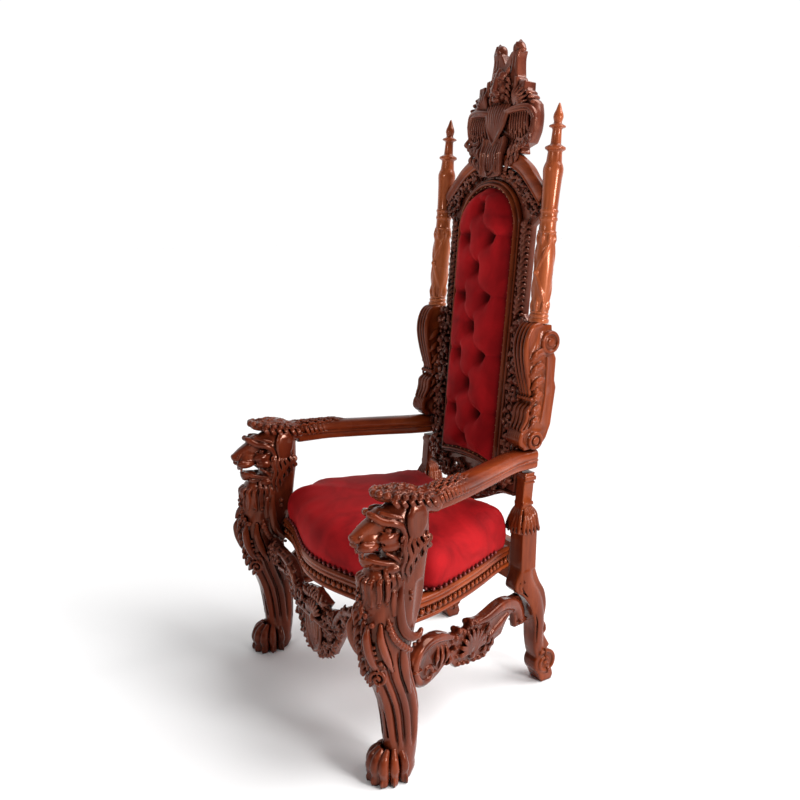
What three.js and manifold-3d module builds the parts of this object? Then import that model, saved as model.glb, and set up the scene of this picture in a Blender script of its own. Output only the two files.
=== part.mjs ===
// A carved lion throne: lion front legs, moulded arms, a raked back with turned columns and an arched,
// deep-buttoned panel, a crest, a serpentine seat frame, and pierced apron and stretchers.
// Millimetres, +Z up, the front faces -Y, and left is the sitter's left (+X).
import * as THREE from "three";
import { mergeVertices } from "three/addons/utils/BufferGeometryUtils.js";
import Module from "manifold-3d";

const library = await Module();
library.setup();

// Driving dimensions.
const GAP = 0.3; // clearance between pieces that touch
const RAKE = 0.079; // how far the back leans for each unit of height
const BACK_AT_FLOOR = 194; // where the plane of the back meets the floor, along Y
const RAKE_ANGLE = Math.atan(RAKE);

const LION_X = 366; // middle of a lion leg
const PAW_REACH = 36; // how far the toes stand out before the ankle

const ARM_UNDERSIDE = 668;
const ARM_TOP = 738;
const ARM_WIDTH = 56;
const ARM_FRONT = -150; // where the rail leaves the lion's mane
const ARM_BACK = 270;
const ARM_RINGS = 7;

const POST_X = 235;
const POST_WIDTH = 54;
const POST_INNER = POST_X - POST_WIDTH / 2 - 2.5; // clear of the console on each post
const LEG_WIDTH = 50;
const POST_NECK = 32; // the slender square above the leaf collar
const POST_SET_BACK = 14; // how far the post stands behind the columns' line
const FOOT_Y = 337;
const FOOT_RADIUS = 41;
const BLOCK_BOTTOM = 388;
const BLOCK_TOP = 500;
const SKIRT_TOP = 570;

const SEAT_RAIL_BOTTOM = 390;
const REAR_RAIL_BOTTOM = 336;
const REAR_RAIL_MIDDLE = 247; // along Y
const REAR_RAIL_THICK = 28;
const FRONT_RAIL_HALF = 313;
const SEAT_RAIL_TOP = 452;
const SEAT_RAIL_THICK = 30;
const SEAT_FRONT = -301; // front of the bow in the seat rail
const SEAT_BOW = 62; // depth of that bow
const CUSHION_CROWN = 586;
const CUSHION_EDGE = 520;
const CUSHION_CORNER = 200; // before the leaf collar of each rear post
const APRON_FRONT = -285;
const APRON_THICK = 24;
const STRETCHER_THICK = 32;
const STRETCHER_X = 356; // where it meets the lion leg
const STRETCHER_FRONT = -205; // along Y
const STRETCHER_BACK = 238;
const CUSHION_BACK = 214; // before the pierced rail below the panel

const BRACKET_TOP = 1083;
const BRACKET_WIDTH = 58;

const COLUMN_X = 237;
const COLUMN_SIDES = 10;
const COLUMN_FOOT = 27; // radius at its base and at its collar
const COLUMN_TIP = 1646;

const PANEL_HALF = 116; // half the width of the velvet
const PANEL_BOTTOM = 662;
const PANEL_TOP = 1440;
const PANEL_FRAME = 23; // width of the moulding round the velvet
const PANEL_FRAME_PROUD = 22; // how far the moulding stands before the columns' axes
const CARVING_THICK = 24;
const PAD_CROWN = 46; // how far the buttoned pad stands before the columns' axes
const CARVING_OUTER = 175;
const STRIP_FRONT = -5; // the carving beside the panel, before and behind the columns' axes
const STRIP_BACK = 20;
const STRIP_BOTTOM = 600; // foot of the carving beside the panel
const SLOT_BOTTOM = 1100; // its slender part, with a gap to the column
const SLOT_TOP = 1336;
const ARCH_HALF = COLUMN_X - COLUMN_FOOT; // from the middle to the side of a column
const ARCH_SPRING = 1386;
const ARCH_SHOULDER = 1440;
const ARCH_NECK = 100; // half the flat top of the arched rail
const ARCH_TOP = 1528;
const ARCH_FRONT = -12;
const ARCH_BACK = 16;

const CREST_BOTTOM = 1470;
const CREST_TOP = 1830;
const CREST_HALF = 144;
const CREST_FRONT = -24; // front of its shield
const CREST_SLAB = -4; // front of its flat ground
const CREST_BACK = 28;

const WOOD = 0x7a2e1c;
const DARK_WOOD = 0x4a2018;
const VELVET = 0xa01018;

// ---------------------------------------------------------------- solids

// A manifold solid from any closed geometry, turned right side out.
function solid(geometry) {
  const bare = geometry.index ? geometry.toNonIndexed() : geometry.clone();
  bare.deleteAttribute("normal");
  bare.deleteAttribute("uv");
  const merged = mergeVertices(bare, 1e-3);
  const triVerts = new Uint32Array(merged.index.array);
  const make = () =>
    new library.Manifold(
      new library.Mesh({ numProp: 3, vertProperties: merged.attributes.position.array, triVerts }),
    );
  const first = make();
  if (first.volume() > 0) return first;
  for (let i = 0; i < triVerts.length; i += 3) {
    [triVerts[i + 1], triVerts[i + 2]] = [triVerts[i + 2], triVerts[i + 1]];
  }
  return make();
}

function join(parts) {
  return parts.map(solid).reduce((sum, part) => sum.add(part));
}

function geometryOf(manifold) {
  const mesh = manifold.getMesh();
  const geometry = new THREE.BufferGeometry();
  geometry.setAttribute("position", new THREE.BufferAttribute(mesh.vertProperties, 3));
  geometry.setIndex(new THREE.BufferAttribute(mesh.triVerts, 1));
  geometry.computeVertexNormals();
  return geometry;
}

function point(x, y, z) {
  return new THREE.Vector3(x, y, z);
}

// ---------------------------------------------------------------- shapes

// A closed skin over a row of rings that all have the same number of points.
function skin(rings) {
  const sides = rings[0].length;
  const positions = rings.flatMap((ring) => ring.flatMap((p) => [p.x, p.y, p.z]));
  const index = [];
  for (let i = 0; i < rings.length - 1; i += 1) {
    for (let j = 0; j < sides; j += 1) {
      const a = i * sides + j;
      const b = i * sides + ((j + 1) % sides);
      index.push(a, b, b + sides, a, b + sides, a + sides);
    }
  }
  const caps = [[rings[0], 0], [rings.at(-1), (rings.length - 1) * sides]];
  caps.forEach(([ring, first]) => {
    const middle = ring.reduce((sum, p) => sum.add(p), point(0, 0, 0)).divideScalar(sides);
    const hub = positions.length / 3;
    positions.push(middle.x, middle.y, middle.z);
    for (let j = 0; j < sides; j += 1) {
      const a = first + j;
      const b = first + ((j + 1) % sides);
      index.push(...(first === 0 ? [hub, b, a] : [hub, a, b]));
    }
  });
  const geometry = new THREE.BufferGeometry();
  geometry.setAttribute("position", new THREE.Float32BufferAttribute(positions, 3));
  geometry.setIndex(index);
  return geometry;
}

// Points round a rounded section. A squareness of 1 is an ellipse, and more is boxier.
function section(centre, across, up, halfAcross, halfUp, squareness, sides) {
  const ring = [];
  for (let j = 0; j < sides; j += 1) {
    const angle = (2 * Math.PI * (j + 0.5)) / sides;
    const c = Math.cos(angle);
    const s = Math.sin(angle);
    const a = Math.sign(c) * Math.abs(c) ** (1 / squareness) * halfAcross;
    const u = Math.sign(s) * Math.abs(s) ** (1 / squareness) * halfUp;
    ring.push(centre.clone().addScaledVector(across, a).addScaledVector(up, u));
  }
  return ring;
}

// Smooth value through named stations, at the place t from 0 to 1 along them.
function along(values, t) {
  const curve = new THREE.SplineCurve(values.map((v, i) => new THREE.Vector2(i, v)));
  return curve.getPoint(t).y;
}

// A tapering, bent blade, such as a leaf or a lock of mane. It follows a curve through the given points.
function blade(points, halfWidth, halfThick, side, steps = 5, sides = 4) {
  const spine = new THREE.CatmullRomCurve3(points);
  const rings = [];
  for (let i = 0; i <= steps; i += 1) {
    const t = i / steps;
    const swell = 0.25 + 0.75 * Math.sin(Math.PI * Math.min(1, 0.25 + 0.72 * t));
    const tangent = spine.getTangent(t);
    const across = side.clone().addScaledVector(tangent, -side.dot(tangent)).normalize();
    const up = tangent.clone().cross(across);
    rings.push(section(spine.getPoint(t), across, up, halfWidth * swell, halfThick * swell, 1, sides));
  }
  return skin(rings);
}

function ball(x, y, z, rx, ry, rz, around = 8, down = 6) {
  return new THREE.SphereGeometry(1, around, down).scale(rx, ry, rz).translate(x, y, z);
}

// A flat outline drawn in (y, z) and given a thickness along X about the middle x.
function plateAcross(shape, x, thickness, bevel = 0, curveSegments = 5) {
  const geometry = new THREE.ExtrudeGeometry(shape, {
    depth: thickness - 2 * bevel,
    bevelEnabled: bevel > 0,
    bevelThickness: bevel,
    bevelSize: bevel,
    bevelOffset: -bevel,
    bevelSegments: 1,
    curveSegments,
  });
  geometry.translate(0, 0, bevel - thickness / 2);
  geometry.applyMatrix4(new THREE.Matrix4().makeBasis(point(0, 1, 0), point(0, 0, 1), point(1, 0, 0)));
  return geometry.translate(x, 0, 0);
}

// A flat outline drawn in (x, z) and given a thickness along Y, from the depth front to the depth back.
function plateFacing(shape, front, back, bevel = 0, curveSegments = 5) {
  const geometry = new THREE.ExtrudeGeometry(shape, {
    depth: back - front - 2 * bevel,
    bevelEnabled: bevel > 0,
    bevelThickness: bevel,
    bevelSize: bevel,
    bevelOffset: -bevel,
    bevelSegments: 1,
    curveSegments,
  });
  geometry.translate(0, 0, bevel);
  geometry.applyMatrix4(new THREE.Matrix4().makeBasis(point(1, 0, 0), point(0, 0, 1), point(0, -1, 0)));
  return geometry.translate(0, back, 0);
}

// A closed outline through points: plain [a, b] pairs are corners, and each inner list is one smooth run.
function outline(start, ...runs) {
  const shape = new THREE.Shape();
  shape.moveTo(...start);
  runs.forEach((run) => {
    if (typeof run[0] === "number") shape.lineTo(...run);
    else shape.splineThru(run.map((p) => new THREE.Vector2(...p)));
  });
  shape.closePath();
  return shape;
}

function mirrored(points) {
  return points.map(([x, z]) => [-x, z]).reverse();
}

function disc(centre, axis, radius, thickness, sides = 12) {
  const geometry = new THREE.CylinderGeometry(radius, radius, thickness, sides);
  const turn = new THREE.Quaternion().setFromUnitVectors(point(0, 1, 0), axis);
  return geometry.applyQuaternion(turn).translate(centre.x, centre.y, centre.z);
}

// ---------------------------------------------------------------- the throne

const throne = new THREE.Group();
const raked = new THREE.Group(); // holds what lies in the plane of the back
raked.position.y = BACK_AT_FLOOR;
raked.rotation.x = -RAKE_ANGLE;
throne.add(raked);

const wood = () => new THREE.MeshStandardMaterial({ color: WOOD, roughness: 0.28, metalness: 0 });
const darkWood = () => new THREE.MeshStandardMaterial({ color: DARK_WOOD, roughness: 0.35, metalness: 0 });
const velvet = () => new THREE.MeshStandardMaterial({ color: VELVET, roughness: 0.85, metalness: 0 });

function place(group, name, geometry, material) {
  const mesh = new THREE.Mesh(geometry, material);
  mesh.name = name;
  group.add(mesh);
  return mesh;
}

// Places a piece drawn on the left (+X) and its mirror image on the right.
function placePair(group, name, geometry, material) {
  place(group, name + "_left", geometry, material());
  place(group, name + "_right", geometry, material()).scale.x = -1;
}

// Height along the raked back of a height above the floor.
function up(z) {
  return z / Math.cos(RAKE_ANGLE);
}

function backAt(z) {
  return BACK_AT_FLOOR + RAKE * z;
}

// ---------------------------------------------------------------- lion legs

// Stations up the leg: sole, instep, ankle, shin, knee, chest, shoulder, throat, nape and crown.
const LEG = {
  z: [0, 40, 95, 175, 260, 340, 405, 475, 560, 650, 728],
  front: [-296, -298, -298, -302, -322, -362, -388, -352, -336, -318, -285],
  back: [-212, -206, -197, -202, -214, -211, -206, -170, -154, -150, -176],
  half: [39, 38, 34, 33, 38, 46, 50, 47, 46, 50, 34],
};
const LEG_RINGS = 13;
const LEG_SIDES = 10;
const FLUTE_DEPTH = 5;
const FLUTE_FROM = 80; // the flutes run up the shin between these heights
const FLUTE_TO = 330;

function legRing(t) {
  const z = along(LEG.z, t);
  const front = along(LEG.front, t);
  const back = along(LEG.back, t);
  const middle = point(0, (front + back) / 2, z);
  const ring = section(
    middle, point(1, 0, 0), point(0, 1, 0), along(LEG.half, t), (back - front) / 2, 1.5, LEG_SIDES,
  );
  const fluted = z > FLUTE_FROM && z < FLUTE_TO;
  ring.forEach((p, j) => {
    p.y += fluted && p.y < middle.y && j % 2 === 1 ? FLUTE_DEPTH : 0;
  });
  return ring;
}

function paw() {
  const toes = [[-27, PAW_REACH - 6], [-9, PAW_REACH], [9, PAW_REACH], [27, PAW_REACH - 6]];
  return toes.map(([x, reach]) => ball(x, -300, 33, 12, reach, 33, 5, 4));
}

function lionHead() {
  const sides = [-1, 1];
  const across = point(1, 0, 0);
  const skull = ball(0, -250, 688, 47, 68, 50, 8, 5);
  const muzzle = ball(0, -334, 652, 29, 46, 25, 6, 4);
  const nose = ball(0, -371, 658, 14, 11, 11, 4, 3);
  const jaw = ball(0, -316, 596, 26, 38, 16, 5, 3);
  const brows = sides.map((s) => ball(s * 21, -300, 706, 20, 20, 13, 5, 3));
  const ears = sides.map((s) => ball(s * 41, -168, 674, 14, 15, 28, 5, 3));
  const tuft = blade([point(0, -165, 722), point(0, -240, 736), point(0, -322, 748)], 38, 22, across, 3, 5);
  return [skull, muzzle, nose, jaw, ...brows, ...ears, tuft];
}

// Locks of mane down each side of the neck, fanned by a loop.
function mane() {
  const locks = [];
  [-1, 1].forEach((s) => {
    for (let k = 0; k < 3; k += 1) {
      const y = -292 + 48 * k;
      const top = 690 - 12 * k;
      const points = [
        point(s * 38, y, top), point(s * 48, y + 14, top - 60),
        point(s * 48, y + 4, top - 120), point(s * 42, y - 10, top - 180),
      ];
      locks.push(blade(points, 19, 9, point(0, 1, 0), 2));
    }
  });
  return locks;
}

// Beard, bib leaf with its forward curl, knee leaves and the scroll inside the knee.
function chestCarving() {
  const across = point(1, 0, 0);
  const beard = blade([point(0, -316, 600), point(0, -336, 566), point(0, -334, 528)], 26, 14, across, 2);
  const bib = blade([point(0, -326, 560), point(0, -366, 505), point(0, -384, 446)], 38, 13, across, 3);
  const knees = [-1, 1].map((s) =>
    blade([point(s * 26, -366, 430), point(s * 32, -364, 360), point(s * 22, -312, 262)], 18, 12, across, 2),
  );
  const scroll = disc(point(-30, -264, 276), point(1, 0, 0), 24, 24, 8);
  return [beard, bib, ...knees, scroll];
}

// The C-shaped wing on the outside of the knee, where the side rail comes in.
function kneeWing() {
  const hook = [[-196, 330], [-168, 322], [-152, 334], [-184, 366], [-186, 410], [-196, 452]];
  return plateAcross(outline([-240, 452], [-262, 400], [[-240, 340], ...hook]), 22, 26, 0, 2);
}

// What reaches below the floor is cut away flat.
const BELOW_FLOOR = { width: 1000, depth: 50 };
const belowFloor = solid(
  new THREE.BoxGeometry(BELOW_FLOOR.width, BELOW_FLOOR.width, BELOW_FLOOR.depth).translate(
    0, 0, -BELOW_FLOOR.depth / 2,
  ),
);
const lionLeg = geometryOf(
  join([
    skin(Array.from({ length: LEG_RINGS + 1 }, (_, i) => legRing(i / LEG_RINGS))),
    ...paw(), ...lionHead(), ...mane(), ...chestCarving(), kneeWing(),
  ]).subtract(belowFloor),
);
lionLeg.translate(LION_X, 0, 0);
placePair(throne, "lion_leg", lionLeg, wood);

// ---------------------------------------------------------------- arms

// Section of the rail in (across, up), as fractions of half its size: a crowned top and a bead on each side.
const ARM_SECTION = [
  [0.6, -1], [0.82, -0.3], [1, -0.1], [0.9, 0.3], [0.5, 1],
];

function armRail() {
  const middle = (ARM_UNDERSIDE + ARM_TOP) / 2;
  const half = (ARM_TOP - ARM_UNDERSIDE) / 2;
  const route = new THREE.CatmullRomCurve3([
    point(LION_X - 6, ARM_FRONT, middle), point(LION_X - 26, -60, middle), point(LION_X - 78, 80, middle),
    point(POST_X + 8, 200, middle), point(POST_X, ARM_BACK, middle),
  ]);
  const profile = [...ARM_SECTION, ...ARM_SECTION.map(([a, u]) => [-a, u]).reverse()].reverse();
  const rings = Array.from({ length: ARM_RINGS + 1 }, (_, i) => {
    const centre = route.getPoint(i / ARM_RINGS);
    return profile.map(([a, u]) => point(centre.x + (a * ARM_WIDTH) / 2, centre.y, centre.z + u * half));
  });
  return skin(rings);
}

// The leaf that lies over the front third of the rail.
function armLeaf() {
  const z = ARM_TOP - 8;
  const spine = [
    point(LION_X - 6, ARM_FRONT + 2, z), point(LION_X - 18, -90, z), point(LION_X - 48, -16, z - 3),
  ];
  return blade(spine, 30, 13, point(1, 0, 0), 3, 6);
}

placePair(throne, "arm", geometryOf(join([armRail(), armLeaf()])), wood);

// ---------------------------------------------------------------- rear posts

// The S-shaped leg in (y, z), from the scroll foot up to the square block.
function rearLegShape() {
  const shape = new THREE.Shape();
  const run = (points) => shape.splineThru(points.map((p) => new THREE.Vector2(...p)));
  shape.moveTo(310, 70);
  run([[298, 102], [291, 140], [289, 196], [264, 279], [222, 316], [214, 336], [231, BLOCK_BOTTOM]]);
  shape.lineTo(284, BLOCK_BOTTOM);
  run([[304, 338], [327, 299], [336, 250], [328, 206], [323, 185], [335, 152], [356, 116]]);
  shape.closePath();
  return shape;
}

// The four-sided collar of leaves that flares down over the block.
function leafSkirt() {
  const rings = [];
  const spread = [16, 26, 36, 42];
  spread.forEach((reach, i) => {
    const z = SKIRT_TOP - ((SKIRT_TOP - BLOCK_TOP) * i) / (spread.length - 1);
    const y = backAt(z) + POST_SET_BACK + i * 1.5;
    rings.push(section(point(POST_X, y, z), point(1, 0, 0), point(0, -1, 0), reach, reach, 2, 12));
  });
  return skin(rings);
}

function rearPost() {
  const foot = new THREE.Shape().absarc(FOOT_Y, 64, FOOT_RADIUS, 0, 2 * Math.PI, false);
  const heel = outline([306, 44], [326, 0], [364, 0], [[371, 14], [366, 34]], [342, 60]);
  const line = (z, offset) => backAt(z) + POST_SET_BACK + offset;
  const head = ARM_UNDERSIDE - GAP;
  const low = BLOCK_TOP - 5;
  const half = POST_NECK / 2;
  const post = outline(
    [line(low, -half), low], [line(head, -half), head], [line(head, half), head], [line(low, half), low],
  );
  const block = outline([231, BLOCK_BOTTOM - 5], [231, BLOCK_TOP], [285, BLOCK_TOP], [285, BLOCK_BOTTOM - 5]);
  const ringZ = head - 12;
  const ringWidth = POST_NECK + 8;
  const ring = new THREE.BoxGeometry(ringWidth, ringWidth, 18).translate(POST_X, line(ringZ, 0), ringZ);
  return join([
    plateAcross(rearLegShape(), POST_X, LEG_WIDTH, 0, 3),
    plateAcross(foot, POST_X, POST_WIDTH, 0, 7),
    plateAcross(heel, POST_X, POST_WIDTH, 0, 2),
    disc(point(POST_X, FOOT_Y, 66), point(1, 0, 0), 19, POST_WIDTH + 6, 8),
    disc(point(POST_X, 337, 166), point(1, 0, 0), 12, LEG_WIDTH - 4, 6),
    plateAcross(block, POST_X, POST_WIDTH),
    plateAcross(post, POST_X, POST_NECK),
    leafSkirt(), ring,
  ]);
}

placePair(throne, "rear_post", geometryOf(rearPost()), wood);

// ---------------------------------------------------------------- scroll brackets

// Side view of a console in (y, z): drawn from the line of the back, u behind it and z above the floor.
function bracketShape() {
  const at = (u, z) => [backAt(z) + u, z];
  const bottom = ARM_TOP + GAP;
  const shape = new THREE.Shape();
  shape.moveTo(...at(-28, bottom));
  const run = (points) => shape.splineThru(points.map((p) => new THREE.Vector2(...p)));
  run([at(-42, 768), at(-38, 800), at(-16, 830), at(-12, 890)]);
  run([at(-30, 940), at(-50, 1000), at(-48, 1050), at(-30, 1078)]);
  shape.lineTo(...at(2, BRACKET_TOP));
  shape.lineTo(...at(30, 1078));
  shape.lineTo(...at(44, 1010));
  shape.lineTo(...at(58, 985));
  shape.lineTo(...at(60, 925));
  shape.lineTo(...at(68, 905));
  shape.lineTo(...at(62, 798));
  shape.lineTo(...at(50, 765));
  shape.lineTo(...at(34, bottom));
  shape.closePath();
  return shape;
}

// A round boss of a scroll: u behind the line of the back, standing proud on the outer side only.
function volute(u, z, radius, proud) {
  const middle = point(POST_X + proud / 2, backAt(z) + u, z);
  return disc(middle, point(1, 0, 0), radius, BRACKET_WIDTH + proud, radius > 20 ? 10 : 6);
}

const TONGUE = [[-18, 1072], [-46, 1040], [-44, 980], [-14, 905]];

function bracket() {
  const tongues = [-14, 14].map((x) =>
    blade(TONGUE.map(([u, z]) => point(POST_X + x, backAt(z) + u, z)), 14, 9, point(1, 0, 0), 3));
  const room = 60; // a block under the console that trims it level with the arm
  const arm = new THREE.BoxGeometry(4 * room, 5 * room, room);
  arm.translate(POST_X, ARM_BACK, ARM_TOP + GAP - room / 2);
  return join([
    plateAcross(bracketShape(), POST_X, BRACKET_WIDTH, 0, 2),
    volute(27, 1032, 32, 4),
    volute(27, 1032, 12, 8),
    volute(7, 764, 25, 4),
    volute(7, 764, 12, 8),
    volute(-34, 806, 16, 0),
    ...tongues,
  ]).subtract(solid(arm));
}

placePair(throne, "scroll_bracket", geometryOf(bracket()), wood);

// ---------------------------------------------------------------- columns

// Radii up the column with the height of each above the floor.
const COLUMN = [
  [COLUMN_FOOT, 1084], [COLUMN_FOOT, 1098], [22, 1104], [25, 1225], [22, 1350], [25, 1356], [25, 1376],
  [22, 1382], [26, 1472], [26, 1486], [18, 1500], [18, 1524], [COLUMN_FOOT, 1534], [13, 1544],
  [12, 1580], [22, 1587], [11, 1594], [14, 1612],
];

function column() {
  const whole = [[0, COLUMN[0][1]], ...COLUMN, [0, COLUMN_TIP]];
  const profile = whole.map(([r, z]) => new THREE.Vector2(r, up(z) + GAP));
  const turned = new THREE.LatheGeometry(profile, COLUMN_SIDES).rotateX(Math.PI / 2);
  const leaves = [0, 1, 2, 3].map((k) => {
    const angle = (k * Math.PI) / 2 + Math.PI / 4;
    const out = (r, z) => point(r * Math.sin(angle), -r * Math.cos(angle), up(z));
    const side = point(Math.cos(angle), Math.sin(angle), 0);
    return blade([out(22, 1120), out(28, 1190), out(23, 1316)], 12, 6, side, 2);
  });
  return join([turned, ...leaves]);
}

placePair(raked, "column", geometryOf(column()).translate(COLUMN_X, 0, 0), wood);

// ---------------------------------------------------------------- arched rail, panel frame and board

const ARCH_UNDER = [[ARCH_HALF, ARCH_SPRING], [160, 1434], [118, 1470], [64, 1494], [0, 1502]];
const ARCH_OVER = [[ARCH_HALF, ARCH_SHOULDER], [182, 1462], [152, 1494], [ARCH_NECK, ARCH_TOP]];

// The rail springs between the columns and rises over two shoulders to the neck of the crest.
function archShape() {
  const shape = new THREE.Shape();
  const raise = ([x, z]) => new THREE.Vector2(x, up(z));
  shape.moveTo(ARCH_HALF, up(ARCH_SPRING));
  shape.lineTo(ARCH_HALF, up(ARCH_SHOULDER));
  shape.splineThru(ARCH_OVER.slice(1).map(raise));
  shape.lineTo(-ARCH_NECK, up(ARCH_TOP));
  shape.splineThru(mirrored(ARCH_OVER).slice(1).map(raise));
  shape.lineTo(-ARCH_HALF, up(ARCH_SPRING));
  const under = [...mirrored(ARCH_UNDER).reverse().slice(1), ...ARCH_UNDER.slice(1, -1).reverse()];
  shape.splineThru(under.map(raise));
  shape.closePath();
  return shape;
}

place(raked, "arched_top_rail", plateFacing(archShape(), ARCH_FRONT, ARCH_BACK, 0, 2), wood());

// An upright outline with a round head, half its width to each side.
function archedOutline(half, bottom, top, dip) {
  const spring = up(top) - half;
  const shape = new THREE.Shape();
  shape.moveTo(-half, up(bottom));
  shape.quadraticCurveTo(0, up(bottom) + dip, half, up(bottom));
  shape.lineTo(half, spring);
  shape.absarc(0, spring, half, 0, Math.PI, false);
  shape.closePath();
  return shape;
}

function panelFrame() {
  const width = (inset) => PANEL_FRAME - inset;
  const outer = (inset) =>
    archedOutline(PANEL_HALF + width(inset), PANEL_BOTTOM - PANEL_FRAME, PANEL_TOP + width(inset), 24);
  const opening = archedOutline(PANEL_HALF, PANEL_BOTTOM, PANEL_TOP, 30);
  const ring = (shape, front, back) => {
    shape.holes.push(new THREE.Path(opening.getPoints(6)));
    return plateFacing(shape, front, back, 0, 6);
  };
  return join([ring(outer(0), -PANEL_FRAME_PROUD + 9, 14), ring(outer(10), -PANEL_FRAME_PROUD, 0)]);
}

place(raked, "back_panel_frame", geometryOf(panelFrame()), wood());

const board = archedOutline(PANEL_HALF - GAP, PANEL_BOTTOM + GAP, PANEL_TOP - GAP, 30);
place(raked, "back_panel_board", plateFacing(board, 6, 14, 0, 6), wood());

// ---------------------------------------------------------------- velvet

// The deep-buttoned pad as a plain crowned block of its own size.
function backPad() {
  const core = archedOutline(PANEL_HALF - 1, PANEL_BOTTOM + 1, PANEL_TOP - 1, 30);
  const crown = archedOutline(PANEL_HALF - 24, PANEL_BOTTOM + 34, PANEL_TOP - 24, 24);
  return join([
    plateFacing(core, -PANEL_FRAME_PROUD + 8, 6 - GAP, 0, 6),
    plateFacing(crown, -PAD_CROWN, 0, 12, 5),
  ]);
}

place(raked, "back_upholstery", geometryOf(backPad()), velvet());

// ---------------------------------------------------------------- pierced carving beside the panel

const SCALLOPS = 8; // along the slender part
const SCALLOP_DEPTH = 7;
const THROUGH = 60; // reach of a piercing, clear of both faces

function backCarving() {
  const inner = PANEL_HALF + PANEL_FRAME + GAP;
  const spring = up(PANEL_TOP) - PANEL_HALF;
  const shape = new THREE.Shape();
  shape.moveTo(inner, up(STRIP_BOTTOM));
  shape.lineTo(POST_INNER, up(STRIP_BOTTOM));
  shape.lineTo(POST_INNER, up(BRACKET_TOP - 12));
  for (let i = 0; i <= 2 * SCALLOPS; i += 1) {
    const z = SLOT_BOTTOM + ((SLOT_TOP - SLOT_BOTTOM) * i) / (2 * SCALLOPS);
    shape.lineTo(CARVING_OUTER - (i % 2) * SCALLOP_DEPTH, up(z));
  }
  shape.lineTo(COLUMN_X - 28, up(SLOT_TOP + 30));
  ARCH_UNDER.forEach(([x, z]) => shape.lineTo(Math.max(x - 1, 2), up(z) - 2));
  shape.lineTo(2, spring + inner);
  shape.absarc(0, spring, inner, Math.PI / 2 - 0.014, 0, true);
  shape.closePath();
  const holes = [650, 730, 810, 890, 970, 1050].map((z) => [(inner + POST_INNER) / 2, up(z), 9, 20]);
  holes.push([156, up(1160), 5, 16], [156, up(1250), 5, 16], [172, up(1388), 8, 12], [118, up(1436), 10, 8]);
  const body = solid(plateFacing(shape, STRIP_FRONT, STRIP_BACK, 0, 6));
  return holes.reduce((rest, [x, z, rx, rz]) => {
    const hole = new THREE.Shape().absellipse(x, z, rx, rz, 0, 2 * Math.PI, false);
    return rest.subtract(solid(plateFacing(hole, -THROUGH, THROUGH, 0, 3)));
  }, body);
}

placePair(raked, "back_carving", geometryOf(backCarving()), darkWood);

// The pierced rail below the panel.
function lowerRail() {
  const half = PANEL_HALF + PANEL_FRAME - GAP;
  const top = up(PANEL_BOTTOM - PANEL_FRAME) - 2;
  const shape = new THREE.Shape();
  shape.moveTo(-POST_INNER, up(588));
  const sag = [[-120, 566], [-60, 538], [0, 520], [60, 538], [120, 566], [POST_INNER, 588]];
  shape.splineThru(sag.map(([x, z]) => new THREE.Vector2(x, up(z))));
  shape.lineTo(POST_INNER, up(STRIP_BOTTOM) - GAP);
  shape.lineTo(half, up(STRIP_BOTTOM) - GAP);
  shape.lineTo(half, top);
  shape.quadraticCurveTo(0, top + 21, -half, top);
  shape.lineTo(-half, up(STRIP_BOTTOM) - GAP);
  shape.lineTo(-POST_INNER, up(STRIP_BOTTOM) - GAP);
  const body = solid(plateFacing(shape, -CARVING_THICK / 2, CARVING_THICK / 2, 0, 3));
  return [-77, 77].reduce((rest, x) => {
    const hole = new THREE.Shape().absellipse(x, up(606), 11, 7, 0, 2 * Math.PI, false);
    return rest.subtract(solid(plateFacing(hole, -THROUGH, THROUGH, 0, 4)));
  }, body);
}

place(raked, "back_lower_rail", geometryOf(lowerRail()), darkWood());

// ---------------------------------------------------------------- crest

// The right half of the cresting from the neck up to the knob, as (x, z).
const CREST_EDGE = [
  [[96, 1500], [112, 1526], [104, 1546]],
  [[130, 1556]],
  [[142, 1584], [CREST_HALF, 1622], [136, 1654], [112, 1672]],
  [[102, 1690], [100, 1716], [74, 1720]],
  [[58, 1736], [52, 1780], [56, 1804]],
];
const KNOB = { x: 42, y: 10, z: CREST_TOP - 17, radius: 18 };

function crestShape() {
  const shape = new THREE.Shape();
  const raise = ([x, z]) => new THREE.Vector2(x, up(z));
  shape.moveTo(-86, up(CREST_BOTTOM + 12));
  shape.quadraticCurveTo(0, up(CREST_BOTTOM - 20), 86, up(CREST_BOTTOM + 12));
  CREST_EDGE.forEach((run) => {
    if (run.length > 1) shape.splineThru(run.map(raise));
    else shape.lineTo(...raise(run[0]));
  });
  shape.lineTo(26, up(1796));
  shape.quadraticCurveTo(0, up(1756), -26, up(1796));
  [...CREST_EDGE].reverse().forEach((run) => {
    const left = mirrored(run).map(raise);
    shape.lineTo(left[0].x, left[0].y);
    if (left.length > 1) shape.splineThru(left.slice(1));
  });
  shape.closePath();
  return shape;
}

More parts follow.
